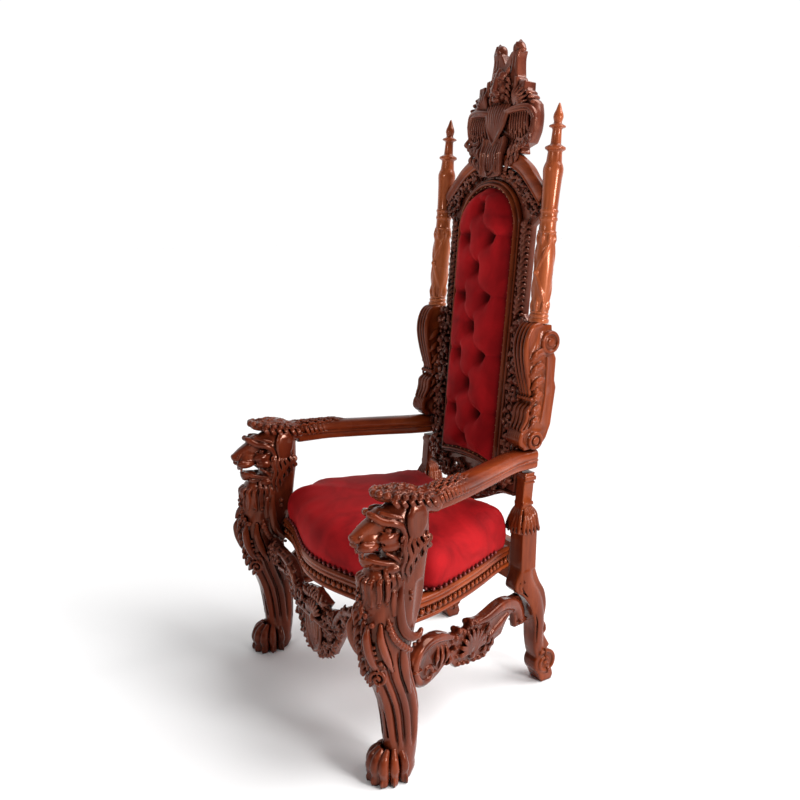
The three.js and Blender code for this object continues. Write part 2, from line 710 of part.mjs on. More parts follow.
function crest() {
  const knobs = [-1, 1].map((s) => ball(s * KNOB.x, KNOB.y, up(KNOB.z), KNOB.radius, 20, KNOB.radius, 7, 5));
  const shield = outline(
    [0, up(1464)], [[48, up(1474)]], [50, up(1640)], [0, up(1648)], [-50, up(1640)], [-48, up(1474)],
  );
  const mask = ball(0, CREST_SLAB, up(1700), 34, 22, 46, 7, 5);
  const muzzle = ball(0, CREST_FRONT + 10, up(1676), 17, 18, 20, 5, 4);
  const plumes = [-1, 1].flatMap((s) =>
    [0, 1].map((k) => {
      const spine = [
        point(s * (56 + 8 * k), CREST_SLAB - 4, up(1566 + 10 * k)),
        point(s * (78 + 18 * k), CREST_SLAB - 8, up(1604)),
        point(s * (90 + 10 * k), CREST_SLAB - 2, up(1656 - 14 * k)),
      ];
      return blade(spine, 16, 10, point(1, 0, 0), 2);
    }));
  const slab = solid(plateFacing(crestShape(), CREST_SLAB, CREST_BACK, 0, 2));
  const rail = solid(plateFacing(archShape(), ARCH_FRONT - GAP, ARCH_BACK + GAP, 0, 2));
  const carvings = { width: 400, depth: 80, top: 1522 };
  const behind = solid(
    new THREE.BoxGeometry(carvings.width, carvings.depth, carvings.depth).translate(
      0, (carvings.depth - CARVING_THICK) / 2 - GAP, up(carvings.top) - carvings.depth / 2,
    ),
  );
  return slab
    .add(solid(plateFacing(shield, CREST_FRONT, CREST_SLAB + 4, 0, 2)))
    .add(join([...knobs, mask, muzzle, ...plumes]))
    .subtract(behind)
    .subtract(rail)
    .subtract(rail.translate([0, 0, GAP]));
}

place(raked, "crest", geometryOf(crest()), darkWood());

// ---------------------------------------------------------------- seat frame

// Front face of the seat frame at a place x across it: a bow that flattens towards the legs.
function frontCurve(x) {
  const t = Math.min(1, Math.abs(x) / 300);
  return SEAT_FRONT + (SEAT_BOW * (1 - Math.cos(Math.PI * t))) / 2;
}

// Outer face of the left side rail: it runs from the lion leg in to the rear post in a shallow S.
const SIDE_ROUTE = new THREE.CatmullRomCurve3([
  point(362, -205, 0), point(350, -115, 0), point(317, -10, 0),
  point(284, 75, 0), point(246, 160, 0), point(228, 212, 0),
]);

// Rail section in (outward, up): a lip, a recessed band and a moulded top.
const SEAT_RAIL_TALL = SEAT_RAIL_TOP - SEAT_RAIL_BOTTOM;
const RAIL_SECTION = [
  [-SEAT_RAIL_THICK, 0], [0, 0], [0, 11], [-5, 15], [-5, 36], [0, 40], [0, 54],
  [-4, SEAT_RAIL_TALL], [-SEAT_RAIL_THICK, SEAT_RAIL_TALL],
];

function rail(places, outward) {
  return skin(places.map((p, i) =>
    RAIL_SECTION.map(([o, u]) => p.clone().addScaledVector(outward[i], o).setZ(SEAT_RAIL_BOTTOM + u))));
}

function frontRail() {
  const steps = 10;
  const places = Array.from({ length: steps + 1 }, (_, i) => FRONT_RAIL_HALF * ((2 * i) / steps - 1));
  return rail(places.map((x) => point(x, frontCurve(x), 0)).reverse(), places.map(() => point(0, -1, 0)));
}

function sideRail() {
  const steps = 7;
  const ts = Array.from({ length: steps + 1 }, (_, i) => i / steps);
  const places = ts.map((t) => SIDE_ROUTE.getPoint(t));
  return rail(places, ts.map(() => point(1, 0, 0)));
}

place(throne, "seat_front_rail", frontRail(), wood());

const nearLion = solid(lionLeg);
const nearPost = rearPost();
const sideRailBody = solid(sideRail());
placePair(throne, "seat_side_rail", geometryOf(sideRailBody.subtract(nearLion).subtract(nearPost)), wood);

const rearRailWidth = 2 * (POST_X - POST_WIDTH / 2 - GAP);
const rearRail = new THREE.BoxGeometry(rearRailWidth, REAR_RAIL_THICK, SEAT_RAIL_TOP - REAR_RAIL_BOTTOM);
rearRail.translate(0, REAR_RAIL_MIDDLE, (SEAT_RAIL_TOP + REAR_RAIL_BOTTOM) / 2);
place(throne, "seat_rear_rail", rearRail, darkWood());

// ---------------------------------------------------------------- seat cushion

// Plan of the cushion, drawn in by inset: it bows with the front rail and narrows to the rear posts.
function cushionRing(inset, z) {
  const right = [];
  [0, 70, 140, 210, 270, 300].forEach((x) => right.push([x * (1 - inset / 330), frontCurve(x) + 5 + inset]));
  right.push([308 - inset, -232 + inset], [308 - inset, -165]); // beside the lion
  right.push([322 - inset, -147], [342 - inset, -132]); // round behind it
  [-110, -20, 70, 130, 165, 192].forEach((y) => {
    const outer = SIDE_ROUTE.getPoint((y + 205) / 417).x - 3;
    right.push([outer - inset, Math.min(y, CUSHION_BACK - inset)]);
  });
  const middle = 186 - inset; // half the straight part of the back edge
  right.push([middle, Math.min(CUSHION_CORNER, CUSHION_BACK - inset)], [middle, CUSHION_BACK + 4 - inset]);
  const left = right.slice(1).map(([x, y]) => [-x, y]).reverse();
  return [...right, ...left].map(([x, y]) => point(x, y, z));
}

const cushionRings = [
  cushionRing(6, SEAT_RAIL_TOP + GAP), cushionRing(1, 474), cushionRing(5, CUSHION_EDGE),
  cushionRing(22, 552), cushionRing(60, 573), cushionRing(150, CUSHION_CROWN),
];
place(throne, "seat_cushion", skin(cushionRings), velvet());

// ---------------------------------------------------------------- front apron

// Right half of the apron in (x, z): the leafy top edge from the middle out, then the lower edge back.
function frontApron() {
  const topEdge = [
    [0, 360], [32, 350], [52, 344], [73, 341], [60, 326], [47, 313], [70, 322], [96, 331], [136, 334],
    [150, 364], [183, 381], [220, 384], [306, 398],
  ];
  const lowEdge = [
    [316, 326], [250, 318], [176, 322], [156, 306], [138, 272], [118, 240], [98, 212], [90, 196],
    [52, 176], [0, 161],
  ];
  const right = [...topEdge, ...lowEdge];
  const left = right.slice(1, -1).map(([x, z]) => [-x, z]).reverse();
  const shape = new THREE.Shape([...right, ...left].map((p) => new THREE.Vector2(...p)));
  const front = APRON_FRONT;
  const piercings = [
    [-214, 352, 30], [214, 352, 30], [-104, 276, 9], [104, 276, 9], [-66, 222, 9], [66, 222, 9],
  ];
  const holes = piercings.map(([x, z, half]) => {
    const hole = new THREE.Shape().absellipse(x, z, half, 11, 0, 2 * Math.PI, false);
    return solid(plateFacing(hole, front - THROUGH, front + THROUGH, 0, 3));
  });
  const plate = solid(plateFacing(shape, front, front + APRON_THICK));
  const body = holes.reduce((rest, hole) => rest.subtract(hole), plate);
  const shield = outline([0, 168], [[40, 204], [44, 268]], [0, 276], [-44, 268], [[-40, 204]]);
  const spine = [point(0, front, 262), point(0, front - 8, 300), point(0, front, 332)];
  const crown = blade(spine, 30, 12, point(1, 0, 0), 3);
  return body.add(solid(plateFacing(shield, front - 12, front + 6, 3, 3))).add(solid(crown));
}

const bothLions = [1, -1].map((s) => nearLion.scale([s, 1, 1]));
const apron = bothLions.reduce((rest, lion) => rest.subtract(lion), frontApron());
place(throne, "front_apron", geometryOf(apron), darkWood());

// ---------------------------------------------------------------- side stretchers

// Drawn in (s, z), s running back from the lion leg: an arch, a leafy middle and a rising rear arch.
function stretcherShape() {
  const shape = new THREE.Shape();
  const run = (points) => shape.splineThru(points.map((p) => new THREE.Vector2(...p)));
  shape.moveTo(-6, 296);
  run([[30, 326], [60, 334], [100, 326], [146, 304]]);
  shape.lineTo(166, 294);
  shape.lineTo(182, 310);
  shape.lineTo(216, 288);
  shape.lineTo(232, 306);
  run([[262, 306], [300, 301], [350, 309], [384, 313], [419, 305]]);
  shape.lineTo(466, 303);
  shape.lineTo(500, 268);
  shape.lineTo(512, 204);
  shape.lineTo(444, 202);
  run([[440, 232], [426, 254], [398, 246], [374, 212]]);
  run([[344, 208], [326, 188], [284, 174], [236, 186], [170, 198]]);
  shape.lineTo(150, 222);
  run([[120, 226], [92, 212], [46, 202], [10, 216], [-6, 248]]);
  shape.closePath();
  return shape;
}

function stretcher() {
  const hole = new THREE.Shape().absellipse(150, 262, 14, 9, 0, 2 * Math.PI, false);
  const body = solid(plateAcross(stretcherShape(), 0, STRETCHER_THICK - 6, 0, 2));
  const eye = solid(disc(point(0, 42, 232), point(1, 0, 0), 28, STRETCHER_THICK + 4, 8));
  const shell = [-1, 0, 1].map((k) => {
    const spine = [point(0, 220, 212), point(0, 220 + k * 40, 246), point(0, 222 + k * 68, 284)];
    return blade(spine, 14, 20, point(0, 1, 0), 2);
  });
  const whole = body.add(eye).add(join(shell)).subtract(solid(plateAcross(hole, 0, 2 * THROUGH, 0, 3)));
  const turn = Math.atan2(STRETCHER_X - POST_X, STRETCHER_BACK - STRETCHER_FRONT);
  return whole.rotate([0, 0, (turn * 180) / Math.PI]).translate([STRETCHER_X, STRETCHER_FRONT, 0]);
}

placePair(throne, "side_stretcher", geometryOf(stretcher().subtract(nearLion).subtract(nearPost)), darkWood);

export default throne;
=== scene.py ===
from math import atan, atan2, copysign, cos, exp, hypot, pi, radians, sin, sqrt

import bpy
import numpy as np
import openvdb
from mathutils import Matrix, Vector


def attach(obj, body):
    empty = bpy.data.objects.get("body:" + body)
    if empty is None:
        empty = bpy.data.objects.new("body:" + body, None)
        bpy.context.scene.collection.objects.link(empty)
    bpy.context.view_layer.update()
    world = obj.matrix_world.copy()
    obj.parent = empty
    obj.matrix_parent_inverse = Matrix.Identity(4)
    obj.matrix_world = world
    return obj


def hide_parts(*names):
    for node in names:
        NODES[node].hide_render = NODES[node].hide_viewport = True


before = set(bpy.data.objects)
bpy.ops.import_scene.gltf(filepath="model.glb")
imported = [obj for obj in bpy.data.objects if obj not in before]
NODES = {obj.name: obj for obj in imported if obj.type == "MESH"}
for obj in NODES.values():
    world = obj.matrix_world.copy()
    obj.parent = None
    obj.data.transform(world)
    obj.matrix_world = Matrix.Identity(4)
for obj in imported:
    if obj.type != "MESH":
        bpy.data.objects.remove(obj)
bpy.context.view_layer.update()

MM = 0.001
LEAN = 0.079  # how far back the back leans for each unit up
RAKE = atan(LEAN)
BACK_AT_FLOOR = 194.0
LION_X = 366.0
POST_X = 235.0
COLUMN_X = 237.0
PAD_HALF = 116.0  # half the width of the upholstered panel
GAP = 0.3  # what a piece keeps clear of what it stands on


# ---------------------------------------------------------------- clay: shapes held as distances on a grid

def curve(points, count):
    """Even samples along a smooth curve through the points."""
    p = np.array(points, float)
    q = np.vstack([2 * p[0] - p[1], p, 2 * p[-1] - p[-2]])
    t = np.linspace(0, len(p) - 1, count)
    i = np.minimum(t.astype(int), len(p) - 2)
    f = (t - i)[:, None]
    a, b, c, d = q[i], q[i + 1], q[i + 2], q[i + 3]
    return 0.5 * (2 * b + (c - a) * f + (2 * a - 5 * b + 4 * c - d) * f**2 + (3 * b - a - 3 * c + d) * f**3)


def flat_curve(points, count):
    """The same for points in a plane."""
    return [tuple(p[:2]) for p in curve([(*p, 0) for p in points], count)]


def ellipse(u, v, ru, rv, count):
    """An outline round a centre."""
    turn = np.linspace(0, 2 * np.pi, count, endpoint=False)
    return [(u + ru * cos(a), v + rv * sin(a)) for a in turn]


def lengths(path):
    """How far along a path each of its points lies."""
    return np.concatenate([[0], np.cumsum(np.linalg.norm(np.diff(path, axis=0), axis=1))])


def sided(s, *points):
    """The points as they are where s is 1, and mirrored where it is -1."""
    return [(s * x, y, z) for x, y, z in points]


def both_sides(*rows):
    """Each row (x, ...) mirrored and as it is, or once where x is 0."""
    return [(s * x, *rest) for x, *rest in rows for s in ((-1, 1) if x else (1,))]


def raised(*points):
    """Points of the leaning back, from (x, depth, height above the floor)."""
    return [(x, d, lifted(z)) for x, d, z in points]


def upright(outline):
    """The same for an outline of (x, height above the floor)."""
    return [(x, lifted(z)) for x, z in outline]


def at_x(x, *places):
    """Points in a plane that faces sideways, from their depth and height."""
    return [(x, y, z) for y, z in places]


def facing_out(points, faces):
    """The mesh with its triangles turned outwards."""
    a, b, c = (points[faces[:, k]] for k in range(3))
    return points, faces[:, ::-1] if (a * np.cross(b, c)).sum() < 0 else faces


def spread(value, count):
    """One number, or a list of them along a line, read at count even places."""
    v = np.atleast_1d(np.array(value, float))
    return np.interp(np.linspace(0, 1, count), np.linspace(0, 1, len(v)), v)


def polygon_distance(outline, u, v):
    """Signed distance to a closed outline, negative inside."""
    p = np.array(outline, float)
    q = np.roll(p, -1, 0)
    best = np.full(u.shape, 1e9, np.float32)
    inside = np.zeros(u.shape, bool)
    for (ax, ay), (bx, by) in zip(p, q):
        ex, ey = bx - ax, by - ay
        wx, wy = u - ax, v - ay
        f = np.clip((wx * ex + wy * ey) / max(ex * ex + ey * ey, 1e-9), 0, 1)
        best = np.minimum(best, (wx - f * ex) ** 2 + (wy - f * ey) ** 2)
        if ay != by:
            crosses = (ay > v) != (by > v)
            inside ^= crosses & (u < ax + (v - ay) * ex / ey)
    d = np.sqrt(best)
    return np.where(inside, -d, d)


class Clay:
    """A block of clay, in millimetres. Each call adds to it or cuts from it near one place only."""

    def __init__(self, low, high, size):
        self.low = np.array(low, float)
        self.size = size
        self.count = np.ceil((np.array(high) - self.low) / size).astype(int) + 1
        self.d = np.full(self.count, 30.0, np.float32)

    def near(self, low, high):
        """The part of the grid between two corners, and its x, y and z."""
        a = np.clip(np.floor((np.array(low) - self.low) / self.size).astype(int), 0, self.count)
        b = np.clip(np.ceil((np.array(high) - self.low) / self.size).astype(int) + 1, 0, self.count)
        axes = [(self.low[k] + self.size * np.arange(a[k], b[k])).astype(np.float32) for k in range(3)]
        return tuple(slice(i, j) for i, j in zip(a, b)), np.meshgrid(*axes, indexing="ij")

    def whole(self):
        return self.near(self.low, self.low + self.count * self.size)

    def put(self, part, d, blend, cut=False):
        """Joins a shape to the clay, or takes it away, with a fillet of about the blend's size."""
        old = self.d[part]
        new = -d if cut else d
        fillet = np.maximum(blend - np.abs(old - new), 0) ** 2 / (4 * max(blend, 1e-6))
        self.d[part] = np.maximum(old, new) + fillet if cut else np.minimum(old, new) - fillet

    def ball(self, centre, radii, blend=0.6, cut=False):
        c = np.array(centre, float)
        r = np.broadcast_to(np.array(radii, float), 3)
        pad = blend + 2 * self.size
        part, (x, y, z) = self.near(c - r - pad, c + r + pad)
        if not x.size:
            return
        x, y, z = x - c[0], y - c[1], z - c[2]
        k0 = np.sqrt((x / r[0]) ** 2 + (y / r[1]) ** 2 + (z / r[2]) ** 2)
        k1 = np.sqrt((x / r[0] ** 2) ** 2 + (y / r[1] ** 2) ** 2 + (z / r[2] ** 2) ** 2)
        self.put(part, k0 * (k0 - 1) / np.maximum(k1, 1e-3), blend, cut)

    def stroke(self, points, width, thick=None, side=(1, 0, 0), blend=0.8, cut=False, flutes=0, depth=1.2,
        square=2.0, steps=None):
        """A bent bar along the points, with an oval section: width across and thick through.
        flutes cuts that many grooves along it, and square makes the section boxier above 2."""
        steps = steps or max(6, 4 * len(points))
        s = curve(points, steps)
        w = spread(width, steps)
        h = w if thick is None else spread(thick, steps)
        t = np.gradient(s, axis=0)
        t /= np.linalg.norm(t, axis=1)[:, None] + 1e-9
        sides = np.array(side, float)
        sides = np.broadcast_to(sides, s.shape) if sides.ndim == 1 else curve(sides, steps)
        a = sides - (sides * t).sum(1)[:, None] * t
        a /= np.linalg.norm(a, axis=1)[:, None] + 1e-9
        n = np.cross(t, a)
        reach = np.maximum(w, h).max() + blend + 2 * self.size
        part, grids = self.near(s.min(0) - reach, s.max(0) + reach)
        if not grids[0].size:
            return
        p = np.stack(grids, -1).reshape(-1, 3)
        best = np.full(len(p), 1e12, np.float32)
        where = np.zeros(len(p), np.float32)
        for i in range(steps - 1):
            e = (s[i + 1] - s[i]).astype(np.float32)
            rel = p - s[i].astype(np.float32)
            f = np.clip(rel @ e / max(float(e @ e), 1e-9), 0, 1)
            d2 = ((rel - f[:, None] * e) ** 2).sum(1)
            closer = d2 < best
            best[closer] = d2[closer]
            where[closer] = i + f[closer]
        keep = best < (reach * 1.05) ** 2
        out = np.full(len(p), 30.0, np.float32)
        p, where = p[keep], where[keep]
        i = np.minimum(where.astype(int), steps - 2)
        f = (where - i)[:, None]
        mix = lambda values: values[i] * (1 - f) + values[i + 1] * f
        centre, tangent, across, normal = mix(s), mix(t), mix(a), mix(n)
        rel = p - centre
        u = (rel * across).sum(1)
        v = (rel * normal).sum(1)
        along = (rel * tangent).sum(1)
        ww = mix(w[:, None])[:, 0]
        hh = mix(h[:, None])[:, 0]
        cap = np.minimum(ww, hh)
        e1 = np.abs(u / ww) ** square + np.abs(v / hh) ** square + np.abs(along / cap) ** square
        e1 = e1 ** (1 / square)
        k1 = np.sqrt((u / ww**2) ** 2 + (v / hh**2) ** 2 + (along / cap**2) ** 2)
        k0 = np.sqrt((u / ww) ** 2 + (v / hh) ** 2 + (along / cap) ** 2)
        d = (e1 - 1) * k0 / np.maximum(k1, 1e-3)
        if flutes:
            d = d + depth * (0.5 + 0.5 * np.cos(np.pi * flutes * (u / ww + 1)))
        out[keep] = d
        self.put(part, out.reshape(grids[0].shape), blend, cut)

    def slab(self, outline, axis, low, high, blend=1.0, edge=2.0, holes=()):
        """A plate with its outline in the two other axes, from low to high along axis, its edges rounded."""
        p = np.array(outline, float)
        others = [k for k in range(3) if k != axis]
        lo, hi = np.zeros(3), np.zeros(3)
        lo[others], hi[others] = p.min(0), p.max(0)
        lo[axis], hi[axis] = low, high
        pad = blend + edge + 2 * self.size
        part, grids = self.near(lo - pad, hi + pad)
        flat = [np.take(grids[k], 0, axis) for k in others]
        d2 = polygon_distance(p, *flat)
        for hole in holes:
            d2 = np.maximum(d2, -polygon_distance(hole, *flat))
        d2 = np.expand_dims(d2, axis)
        middle, half = (low + high) / 2, (high - low) / 2
        dz = np.abs(grids[axis] - middle) - half
        a, b = d2 + edge, dz + edge
        d = np.minimum(np.maximum(a, b), 0) + np.sqrt(np.maximum(a, 0) ** 2 + np.maximum(b, 0) ** 2) - edge
        self.put(part, d.astype(np.float32), blend)

    def trim(self, outline, axis, margin, holes=()):
        """Cuts away what stands further than the margin outside a flat outline, or inside its holes."""
        part, grids = self.whole()
        flat = [np.take(grids[k], 0, axis) for k in range(3) if k != axis]
        keep = polygon_distance(outline, *flat) - margin
        for hole in holes:
            keep = np.maximum(keep, -polygon_distance(hole, *flat))
        self.d[part] = np.maximum(self.d[part], np.expand_dims(keep, axis))

    def mesh(self):
        """(points, faces) of the clay's skin."""
        grid = openvdb.FloatGrid(30.0)
        grid.copyFromArray(self.d)
        points, triangles, quads = grid.convertToPolygons(isovalue=0.0, adaptivity=0.0)
        points = points * self.size + self.low
        faces = np.vstack([quads[:, :3], quads[:, [0, 2, 3]]]) if len(quads) else np.zeros((0, 3), int)
        faces = np.vstack([faces, triangles]) if len(triangles) else faces
        return facing_out(points, faces)


# ---------------------------------------------------------------- meshes

def lean(points):
    """From the leaning back's own frame (x, depth, height up it) to the room's, in millimetres."""
    x, d, h = points.T
    c, s = cos(RAKE), sin(RAKE)
    return np.stack([x, BACK_AT_FLOOR + d * c + h * s, h * c - d * s], 1)


def lifted(z):
    """Height up the leaning back of a height above the floor."""
    return z / cos(RAKE)


def leaning(shape):
    points, faces = shape
    return lean(points), faces


def mirrored(shape):
    points, faces = shape
    return points * [-1, 1, 1], faces[:, ::-1]


def joined(*shapes):
    points, faces, start = [], [], 0
    for p, f in shapes:
        points.append(p)
        faces.append(f + start)
        start += len(p)
    return np.vstack(points), np.vstack(faces)


def piece(name, shape, node, material, limit=None):
    """A mesh object from (points in millimetres, triangles) that stands for a CAD node.
    limit is the most triangles it may keep."""
    points, faces = shape
    mesh = bpy.data.meshes.new(name)
    mesh.vertices.add(len(points))
    mesh.vertices.foreach_set("co", (points * MM).astype(np.float32).ravel())
    mesh.loops.add(faces.size)
    mesh.loops.foreach_set("vertex_index", faces.astype(np.int32).ravel())
    mesh.polygons.add(len(faces))
    mesh.polygons.foreach_set("loop_start", np.arange(0, faces.size, 3, dtype=np.int32))
    mesh.update(calc_edges=True)
    mesh.validate()
    obj = bpy.data.objects.new(name, mesh)
    bpy.context.scene.collection.objects.link(obj)
    if limit and len(faces) > limit:
        thin = obj.modifiers.new("thin", "DECIMATE")
        thin.ratio = limit / len(faces)
        bpy.context.view_layer.update()
        done = bpy.data.meshes.new_from_object(obj.evaluated_get(bpy.context.evaluated_depsgraph_get()))
        obj.modifiers.clear()
        obj.data = done
        bpy.data.meshes.remove(mesh)
    obj.data.shade_smooth()
    obj.data.materials.clear()
    obj.data.materials.append(material)
    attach(obj, "root")
    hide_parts(node)
    return obj


# ---------------------------------------------------------------- finishes

def node_tree(name):
    material = bpy.data.materials.new(name)
    material.use_nodes = True
    tree = material.node_tree
    tree.nodes.clear()
    return material, tree


def add(tree, kind, **values):
    node = tree.nodes.new(kind)
    for key, value in values.items():
        if hasattr(node, key):
            setattr(node, key, value)
        else:
            node.inputs[key].default_value = value
    return node


def ramp(tree, source, stops):
    node = tree.nodes.new("ShaderNodeValToRGB")
    band = node.color_ramp
    while len(band.elements) < len(stops):
        band.elements.new(0.5)
    for element, (at, colour) in zip(band.elements, stops):
        element.position = at
        element.color = (*colour, 1)
    tree.links.new(source, node.inputs["Fac"])
    return node.outputs["Color"]


def blend_colours(tree, kind, factor, a, b):
    node = tree.nodes.new("ShaderNodeMix")
    node.data_type = "RGBA"
    node.blend_type = kind
    if isinstance(factor, float):
        node.inputs[0].default_value = factor
    else:
        tree.links.new(factor, node.inputs[0])
    for socket, value in ((node.inputs[6], a), (node.inputs[7], b)):
        if isinstance(value, tuple):
            socket.default_value = (*value, 1)
        else:
            tree.links.new(value, socket)
    return node.outputs[2]


def shaded(tree, colour, reach, deepest):
    """The colour, darkened with painted shade where other carving stands close round it."""
    nook = add(tree, "ShaderNodeAmbientOcclusion", Distance=reach)
    nook.samples = 6
    depth = ramp(tree, nook.outputs["AO"], [(0.25, deepest), (0.85, (1, 1, 1))])
    return blend_colours(tree, "MULTIPLY", 1.0, colour, depth)


def noise(tree, vector, **values):
    node = add(tree, "ShaderNodeTexNoise", **values)
    tree.links.new(vector, node.inputs["Vector"])
    return node.outputs["Fac"]


def remap(tree, source, low, high, first, last):
    """The source from low to high, as a value from first to last."""
    node = add(tree, "ShaderNodeMapRange", clamp=True)
    for name, value in (("From Min", low), ("From Max", high), ("To Min", first), ("To Max", last)):
        node.inputs[name].default_value = value
    tree.links.new(source, node.inputs["Value"])
    return node.outputs["Result"]


def surface(tree, colour, relief, strength, distance, values):
    """Ends a material: its colour, a fine relief, and the shader's other values."""
    bump = add(tree, "ShaderNodeBump", Strength=strength, Distance=distance)
    tree.links.new(relief, bump.inputs["Height"])
    shader = add(tree, "ShaderNodeBsdfPrincipled")
    for name, value in values.items():
        shader.inputs[name].default_value = value
    tree.links.new(colour, shader.inputs["Base Color"])
    tree.links.new(bump.outputs["Normal"], shader.inputs["Normal"])
    tree.links.new(shader.outputs["BSDF"], add(tree, "ShaderNodeOutputMaterial").inputs["Surface"])
    return shader


def wood(name, light, mid, dark, along, roughness=0.24, crevice_shade=0.75, shine=0.25):
    """Polished mahogany. along is how the grain is stretched: small along the grain, large across it."""
    material, tree = node_tree(name)
    place = add(tree, "ShaderNodeTexCoord").outputs["Object"]
    scale = add(tree, "ShaderNodeMapping")
    scale.inputs["Scale"].default_value = along
    tree.links.new(place, scale.inputs["Vector"])
    stretched = scale.outputs["Vector"]
    wander = noise(tree, stretched, Scale=2.2, Detail=4.0, Distortion=0.6)
    fibre = noise(tree, stretched, Scale=14.0, Detail=6.0, Roughness=0.65)
    cloud = noise(tree, place, Scale=7.0, Detail=2.0)
    body = ramp(tree, wander, [(0.3, dark), (0.5, mid), (0.72, light)])
    streak = ramp(tree, fibre, [(0.35, (0.62, 0.55, 0.5)), (0.6, (1, 1, 1))])
    colour = blend_colours(tree, "MULTIPLY", 0.55, body, streak)
    bend = add(tree, "ShaderNodeNewGeometry").outputs["Pointiness"]
    # painted shade: crevices and hollows, found by their pointiness, are blended towards near-black
    painted_crevice_shade = remap(tree, bend, 0.40, 0.505, crevice_shade, 0.0)
    colour = blend_colours(tree, "MIX", painted_crevice_shade, colour, (0.012, 0.005, 0.004))
    # painted highlight: sharp ridges and edges, found by their pointiness, are blended towards the light
    # tone
    painted_edge_highlight = remap(tree, bend, 0.53, 0.64, 0.0, 0.45)
    colour = blend_colours(tree, "MIX", painted_edge_highlight, colour, light)
    # painted shade: darker again where an ambient-occlusion node finds other surfaces close by
    colour = shaded(tree, colour, 0.016, (0.1, 0.06, 0.05))
    rough = remap(tree, cloud, 0.3, 0.7, roughness - 0.06, roughness + 0.12)
    shader = surface(tree, colour, fibre, 0.08, 0.0006,
        {"Specular IOR Level": shine, "Specular Tint": (1.0, 0.42, 0.26, 1), "Coat Weight": 0.14,
        "Coat Roughness": 0.08})
    tree.links.new(rough, shader.inputs["Roughness"])
    return material


def velvet_finish(name, deep, bright):
    """Crimson velvet: dark face on, lighter where the pile catches the light."""
    material, tree = node_tree(name)
    place = add(tree, "ShaderNodeTexCoord").outputs["Object"]
    pile = noise(tree, place, Scale=900.0, Detail=2.0)
    nap = noise(tree, place, Scale=9.0, Detail=5.0, Distortion=1.2)
    crushed = ramp(tree, nap, [(0.3, deep), (0.7, bright)])
    grain = ramp(tree, pile, [(0.3, (0.75, 0.75, 0.75)), (0.7, (1, 1, 1))])
    colour = blend_colours(tree, "MULTIPLY", 0.6, crushed, grain)
    bend = add(tree, "ShaderNodeNewGeometry").outputs["Pointiness"]
    # painted shade: creases and hollows of the velvet, found by their pointiness, are blended towards
    # near-black
    fold = remap(tree, bend, 0.42, 0.5, 0.85, 0.0)
    colour = blend_colours(tree, "MIX", fold, colour, (0.03, 0.0, 0.002))
    # painted shade: darker again where an ambient-occlusion node finds other surfaces close by
    colour = shaded(tree, colour, 0.035, (0.12, 0.05, 0.05))
    surface(tree, colour, pile, 0.25, 0.0004,
        {"Roughness": 0.75, "Specular IOR Level": 0.1, "Sheen Weight": 0.22, "Sheen Roughness": 0.35,
        "Sheen Tint": (1.0, 0.1, 0.08, 1)})
    return material


def metal(name, colour, roughness, metallic):
    """Old nailheads, dull in places."""
    material, tree = node_tree(name)
    place = add(tree, "ShaderNodeTexCoord").outputs["Object"]
    worn = noise(tree, place, Scale=160.0, Detail=3.0)
    tint = ramp(tree, worn, [(0.35, tuple(c * 0.45 for c in colour)), (0.6, colour)])
    surface(tree, tint, worn, 0.2, 0.0003, {"Metallic": metallic, "Roughness": roughness})
    return material


UPRIGHT = (6.0, 6.0, 0.7)
LENGTHWAYS = (6.0, 0.7, 6.0)
CROSSWAYS = (0.7, 6.0, 6.0)
MAHOGANY = wood("mahogany_upright", (0.23, 0.042, 0.01), (0.13, 0.02, 0.005), (0.06, 0.008, 0.003), UPRIGHT)
# a lighter copy of the mahogany, with painted light, for the columns
MAHOGANY_LIT = wood("mahogany_painted_lighter", (0.42, 0.11, 0.036), (0.27, 0.058, 0.018), (0.12, 0.021, 0.007),
    UPRIGHT, 0.2, 0.75, 0.55)
MAHOGANY_ARM = wood("mahogany_lengthways", (0.26, 0.046, 0.01), (0.15, 0.023, 0.006), (0.068, 0.009, 0.003),
    LENGTHWAYS)
MAHOGANY_RAIL = wood("mahogany_crossways", (0.31, 0.064, 0.018), (0.185, 0.032, 0.01),
    (0.085, 0.013, 0.005), CROSSWAYS, 0.24, 0.75, 0.35)
CARVED = wood("carved_mahogany", (0.2, 0.05, 0.026), (0.115, 0.026, 0.015), (0.045, 0.01, 0.007), UPRIGHT,
    0.2, 0.95, 0.5)
LION = wood("lion_mahogany", (0.18, 0.032, 0.011), (0.1, 0.016, 0.006), (0.042, 0.006, 0.003), UPRIGHT,
    0.18, 0.95, 0.35)
VELVET = velvet_finish("crimson_velvet", (0.2, 0.002, 0.004), (0.4, 0.006, 0.009))
NAILS = metal("antique_brass", (0.5, 0.26, 0.13), 0.35, 0.9)
SEAT_NAILS = metal("dark_red_nails", (0.18, 0.02, 0.018), 0.35, 0.5)


# ---------------------------------------------------------------- lions

LEG_HEIGHTS = [0, 16, 40, 70, 94, 130, 175, 213, 243, 290, 325, 351, 408, 452, 486, 526, 560, 600, 640, 690,
    735]
LEG_FRONTS = [-282, -284, -286, -287, -287, -289, -294, -300, -309, -327, -338, -347, -354, -348, -336,
    -324, -300, -284, -280, -276, -266]
LEG_BACKS = [-216, -212, -205, -199, -196, -194, -193, -198, -206, -218, -222, -222, -212, -198, -190, -186,
    -182, -175, -172, -170, -172]
LEG_HALVES = [35, 36, 36, 35, 34, 33, 34, 35, 37, 40, 43, 44, 46, 46, 45, 44, 42, 41, 41, 38, 28]
FLUTES = [50, 75, 108, 142]  # degrees round the shin from its front, on each side


